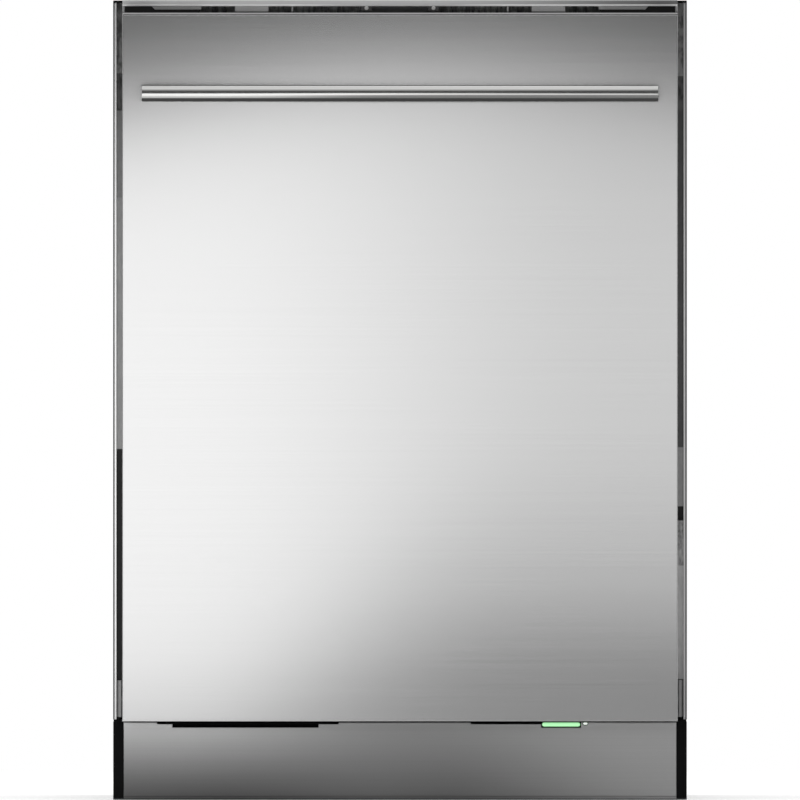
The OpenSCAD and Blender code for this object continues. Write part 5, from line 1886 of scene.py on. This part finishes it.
@dataclass
class Pressing:
    """Sheet with a stepped field, beads in it and slots through it, in its own axes: out, across and along.

    The margins are those beside, below and above the field. A slot is its half width and its two edges.
    """

    box: Box
    facing: Axis
    margins: Vec = (46.0, 46.0, 46.0)
    beads: Vec = ()
    slots: Line = ()
    step: float = 1.3
    bead_depth: float = 1.1
    bead_half: float = 6.0
    side: int = 1
    sheet: float = 1.2
    ramp: float = 7.0
    corner: float = 30.0
    coarse: int = 26
    fine: int = 13
    fine_reach: float = 1.6
    least_cell: float = 0.4
    cut_clear: float = 1.0
    digits: int = 5

    def __post_init__(self) -> None:
        """Works out the order of the axes, the field's edges and the beads' ends."""
        self.order = [self.facing.value] + [i for i in range(3) if i != self.facing.value]
        self.lo, self.hi = self.box.lo[self.order], self.box.hi[self.order]
        across, low, high = self.margins
        self.field = np.stack([self.lo[1:] + (across, low), self.hi[1:] - (across, high)], axis=1)
        self.mid = self.field.mean(axis=1)
        self.half = np.diff(self.field, axis=1)[:, 0] / 2
        self.bead_end = self.half[0] - 2.2 * self.corner

    def ticks(self, low: float, high: float, edges: Vec, cuts: Vec) -> Array:
        """Places of the grid's lines: wide apart on the flats, close at the edges, and exactly at the cuts.

        They are rounded to digits decimals of a metre, and thinned out, before they are millimetres again.

        Args:
            low: The first line.
            high: The last line.
            edges: Middles of the close stretches.
            cuts: Places that have a line of their own.

        Returns:
            The places in order.
        """
        close = np.linspace(-self.fine_reach, self.fine_reach, self.fine) * self.ramp
        every = np.concatenate([np.linspace(low, high, self.coarse), *(edge + close for edge in edges)])
        every = np.clip(every, low, high)
        every = np.unique(np.round(every * MM, self.digits))
        for cut in cuts:
            every = every[np.abs(every - cut * MM) > self.cut_clear * MM]
        kept = every[np.concatenate([[True], np.diff(every) > self.least_cell * MM])]
        return np.unique(np.concatenate([kept / MM, cuts]))

    def depth(self, across: Array, along: Array) -> Array:
        """How far the sheet is pressed in: a smooth step at the edge of a rounded rectangle, less the beads.

        Args:
            across: The grid's first coordinate.
            along: Its second coordinate.

        Returns:
            The depth at each point of the grid.
        """
        away = [np.abs(v - m) - h + self.corner for v, m, h in zip((across, along), self.mid, self.half)]
        outside = np.hypot(np.maximum(away[0], 0), np.maximum(away[1], 0))
        distance = outside + np.minimum(np.maximum(*away), 0) - self.corner
        rise = np.clip(0.5 - distance / (2 * self.ramp), 0, 1)
        pressed = self.step * rise * rise * (3 - 2 * rise)
        over = np.maximum(np.abs(across - self.mid[0]) - self.bead_end, 0)
        for line in self.beads:
            near = np.clip(1 - np.hypot(over, along - line) / self.bead_half, 0, 1)
            pressed = pressed - self.bead_depth * near * near * (3 - 2 * near)
        return pressed

    def shell(self) -> Shell:
        """The closed sheet: outer face, inner face one thickness behind, and walls wherever a cell ends."""
        b = self.ticks(self.lo[1], self.hi[1], [*self.field[0], *about(self.mid[0], self.bead_end)],
                       sorted({edge for half, _, _ in self.slots for edge in (-half, half)}))
        c = self.ticks(self.lo[2], self.hi[2], [*self.field[1], *self.beads],
                       [edge for _, *edges in self.slots for edge in edges])
        across, along = np.meshgrid(b, c, indexing="ij")
        face = self.hi[0] if self.side > 0 else self.lo[0]
        outer = np.stack([face - self.side * self.depth(across, along), across, along], axis=-1)
        outer = outer.reshape(-1, 3)
        inner = outer - (self.side * self.sheet, 0.0, 0.0)
        middle_b, middle_c = (b[1:] + b[:-1]) / 2, (c[1:] + c[:-1]) / 2
        kept = np.ones((len(b) - 1, len(c) - 1), bool)
        for half, low, high in self.slots:
            kept &= ~np.outer(np.abs(middle_b) < half, (middle_c > low) & (middle_c < high))
        index = np.arange(across.size).reshape(across.shape)
        corners = [index[:-1, :-1], index[1:, :-1], index[1:, 1:], index[:-1, 1:]]
        cells = np.stack([corner[kept] for corner in corners], axis=-1)
        padded = np.pad(kept, 1)
        beyond = [padded[1:-1, :-2], padded[2:, 1:-1], padded[1:-1, 2:], padded[:-2, 1:-1]]
        walls = []
        for i, other in enumerate(beyond):
            rim = kept & ~other
            start, stop = corners[i][rim], corners[(i + 1) % 4][rim]
            walls.append(np.stack([stop, start, start + across.size, stop + across.size], axis=-1))
        faces = np.concatenate([cells, cells[:, ::-1] + across.size, *walls])
        used, renumbered = np.unique(faces, return_inverse=True)
        points = np.empty((len(used), 3))
        points[:, self.order] = np.concatenate([outer, inner])[used]
        return Shell(points, [renumbered.reshape(faces.shape)]).outward()


@dataclass
class PressedCasing:
    """Casing sheets and the tub's rear wall, with their pressed fields and beads."""

    sheet: float = 1.2
    side_beads: Vec = (0.27, 0.5, 0.73)
    rear_beads: Vec = (380.0, 500.0, 620.0)
    rear_margins: Vec = (44.0, 150.0, 44.0)
    louvres: Louvres = Louvres()
    top_bead: float = 70.0
    fold_end: float = 298.5
    wall_spans: tuple[Span, Span] = ((24.0, 262.0), (170.0, 780.0))
    wall_beads: Vec = (330.0, 480.0, 630.0)

    def sides(self) -> None:
        """Both side panels with their folded rear and top flanges."""
        box = Box.of("side_panel_right")
        (x0, y0, z0), (x1, y1, z1) = box.lo, box.hi
        lines = tuple(z0 + run * (z1 - z0) for run in self.side_beads)
        inner, thin = x1 - self.sheet, (0.3, 0.3, 1, 1)
        shells = [Pressing(box, Axis.X, beads=lines, step=2.0, bead_depth=1.8).shell(),
                  slab((x0, inner + 0.1), (y1 - 2.6, y1 - 1.4), (z0 + 50, z1), Axis.Z, *thin),
                  slab((inner - 8, inner + 0.1), (y0 + 33, y1 - 56), (z1 - self.sheet, z1), Axis.Y, *thin)]
        add_piece("side_skin_right", "cabinet", shells, "casing", "side_panel_right")
        add_piece("side_skin_left", "cabinet", [s.mirrored() for s in shells], "casing", "side_panel_left")

    def rear(self) -> None:
        """Rear panel: a field with beads over the rows of slots."""
        slots = [(self.louvres.half, foot, foot + self.louvres.height) for foot in self.louvres.feet()]
        skin = Pressing(Box.of("rear_panel"), Axis.Y, self.rear_margins, self.rear_beads, slots,
                        2.6, 2.5, 9.0)
        add_piece("rear_skin", "cabinet", [skin.shell()], node="rear_panel")

    def top(self) -> None:
        """Top panel: a field with two beads, the tongues beside the rail and their folded fronts."""
        box, rail = Box.of("top_panel"), Box.of("top_rail")
        (x0, y0, z0), (x1, y1, z1) = box.lo, box.hi
        front, inner, low = rail.hi[1] + 0.1, rail.hi[0] + 0.1, z1 - self.sheet
        main = Box.span((x0, x1), (front, y1), (low, z1))
        skin = Pressing(main, Axis.Z, (50.0, 50.0, 50.0), about(main.mid[1], self.top_bead))
        thin = (0.4, 0.2, 1, 1)
        tongue = slab((inner, x1), (y0, front + 1), (low, z1), Axis.Y, *thin)
        fold = slab((inner, self.fold_end), (y0, y0 + self.sheet), (z0, z1 - 0.4), Axis.X, *thin)
        add_piece("top_skin", "cabinet", [skin.shell(), *both_sides(tongue, fold)], node="top_panel")

    def tub_wall(self) -> None:
        """Stiffened rear wall of the tub: two raised fields, one on each side of the feed pipe."""
        wall = Box.of("tub").hi[1] - self.sheet - 0.05
        x, z = self.wall_spans
        skin = Pressing(Box.span(x, (wall, wall + self.sheet), z), Axis.Y, (20.0, 20.0, 20.0),
                        self.wall_beads, step=-1.6, bead_depth=0.8, bead_half=11.0, side=-1, sheet=0.8,
                        corner=22.0)
        add_piece("tub_rear_fields", "cabinet", both_sides(skin.shell()), slot_of("tub"))

    def build(self) -> None:
        """Makes the pressed sheets."""
        self.sides()
        self.rear()
        self.top()
        self.tub_wall()


@dataclass
class HeadGap:
    """What shows in the gap over the door: rubber buffers, the rail's bead, tabs, clips and screws."""

    gap_foot: float = 822.7
    gap_top: float = 830.3
    step_z: float = 825.9
    buffer_x: Vec = (207.4, 256.0, 287.4)
    # Each tab's span across, foot and finish. The finishes are one steel, painted lighter or darker.
    tabs: tuple[tuple[float, float, float, str], ...] = (
        (207.6, 262.0, 826.1, "tab_steel"), (137.5, 172.5, 823.9, "tab_pale"),
        (111.7, 113.3, 823.9, "tab_pale"), (29.6, 40.4, 824.6, "tab_painted_shade"))
    tab_sheet: float = 0.8
    clip_x: Span = (287.8, 290.0)
    bead_half: float = 289.6
    hem_drop: float = 0.45
    screw_x: float = 35.0
    screw_z: float = 827.6

    def buffers(self) -> None:
        """Stepped rubber buffers at both ends of the door's top edge, chamfered towards the middle."""
        inner, step, outer = self.buffer_x
        front = Box.of("control_fascia").lo[1]
        foot, low, high = self.gap_foot - 0.4, self.step_z, self.gap_top - 0.8
        outline = [(foot, inner + 2.4), (foot + 1.2, inner + 2), (low, inner), (low, step),
                   (high, step + 3.6), (high, outer), (foot, outer)]
        buffer = plate(outline, front + 1.5, front + 7, Axis.Y)
        add_piece("door_buffers", "door", both_sides(buffer), "seal_black", look="buffer_black")

    def edges(self) -> None:
        """Bead along the rail's lower edge, and the thin hem under the door's panel."""
        rail, door = Box.of("top_rail"), Box.of("door_panel")
        front, under = rail.lo[1], rail.lo[2]
        bead = slab((-self.bead_half, self.bead_half), (front - 0.5, front + 0.3), (under - 0.9, under + 0.6),
                    Axis.X, 0.38, 0.2, 1, 2)
        hem = slab((door.lo[0], door.hi[0]), (door.lo[1], door.lo[1] + 6),
                   (door.lo[2] - self.hem_drop, door.lo[2] + 0.8), Axis.X, 0.05, 0.05, 1, 1)
        # The bead lies in the rail's painted highlight along the lower edge.
        add_piece("rail_bead", "cabinet", [bead], "frame_steel", look="rail_steel")
        add_piece("door_hem", "door", [hem], "door_steel")

    def rail_tabs(self) -> None:
        """Tabs turned down from the rail, one piece for each of their finishes, and a clip at each end. The
        finishes are the tabs' one steel at levels of painted light and shade.
        """
        rail = Box.of("top_rail")
        y, under = rail.lo[1] + 0.1, rail.lo[2]
        by_look: dict[str, list[Shell]] = {}
        for low_x, high_x, foot, look in self.tabs:
            tab = slab((low_x, high_x), (y, y + self.tab_sheet), (foot, under + 0.4), Axis.Y, 0.5, 0.2, 1, 2)
            by_look.setdefault(look, []).append(tab)
        clip = slab(self.clip_x, (y, y + 3.4), (self.gap_foot + 1.2, under + 0.3), Axis.Z, 0.6, 0.4, 1, 2)
        by_look["tab_pale"].append(clip)
        for look, shells in by_look.items():
            add_piece(f"rail_{look}s", "cabinet", both_sides(*shells), "frame_steel", look=look)

    def build(self) -> None:
        """Makes the gap's pieces."""
        self.buffers()
        self.edges()
        self.rail_tabs()
        y = Box.of("top_rail").lo[1] - 1.3
        heads = [cross_head((x, y, self.screw_z), Axis.Y, 2.1, 1.5, -1) for x in about(0.0, self.screw_x)]
        add_piece("strike_screws", "cabinet", heads, "screw_steel", look="screw_bright")


@dataclass
class Plinth:
    """Outer skirts of the base, the toe kick's hem with the sweep under it, and the casing's corner caps."""

    edge_x: float = 299.9
    skirt_depth: float = 12.0
    skirt_z: Span = (0.1, 82.0)
    hem_sheet: float = 0.8
    hem_foot: float = 1.3
    sweep_half: float = 299.4
    sweep_foot: float = 0.05
    cap_x: Span = (290.6, 299.9)
    cap_y: Span = (-217.0, -213.0)
    cap_z: Span = (833.5, 835.9)

    def build(self) -> None:
        """Makes the strips."""
        pan, kick, lip = Box.of("base_pan"), Box.of("toe_kick"), Box.of("kick_lip")
        skirt = slab((pan.hi[0] - 0.2, self.edge_x), (pan.lo[1], pan.lo[1] + self.skirt_depth), self.skirt_z,
                     Axis.X, 1.5, 0.2, 1, 2)
        hem = slab((kick.lo[0], kick.hi[0]), (kick.lo[1], kick.lo[1] + self.hem_sheet),
                   (self.hem_foot, kick.lo[2] + 1), Axis.X, 0.05, 0.05, 1, 1)
        # The sweep is the rubber lip, widened and carried down to the floor, where the dark strip also stands
        # in for shade at the kick's foot.
        foot = slab((-self.sweep_half, self.sweep_half), (lip.lo[1], lip.hi[1]),
                    (self.sweep_foot, lip.hi[2] + 3), Axis.X, 0.1, 0.1, 1, 1)
        cap = slab(self.cap_x, self.cap_y, self.cap_z, Axis.Y, 0.5, 0.4, 1, 2)
        add_piece("base_skirts", "cabinet", both_sides(skirt), "base_black")
        add_piece("kick_hem", "cabinet", [hem], "kick_steel")
        add_piece("kick_sweep", "cabinet", [foot], node="kick_lip")
        add_piece("corner_caps", "cabinet", both_sides(cap), "casing", look="buffer_black")


def main() -> None:
    """Builds every sub-assembly in order."""
    logging.basicConfig(level=logging.INFO, format="%(message)s")
    arms = (SprayArm("lower_spray_arm", "lower_arm", 12.06, 34.0, 24.0, 20.0),
            SprayArm("upper_spray_arm", "upper_arm", 8.06, 34.0, 24.0, 20.0),
            SprayArm("top_spray_arm", "top_arm", 8.06, 18.0, 15.0, 16.0, 3, 0.0, 0.8))
    for part in (Studio(), Handle(), LowerRack(), UpperRack(), *arms, Springs(), Feet(), Seals(),
                 CutleryTray(), Filters(), Dispenser(), Controls(), KickDetails(), Rear(), PressedCasing(),
                 HeadGap(), Plinth(), Sheetwork()):
        LOG.info("building %s", type(part).__name__)
        part.build()
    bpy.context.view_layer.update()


if __name__ == "__main__":
    main()
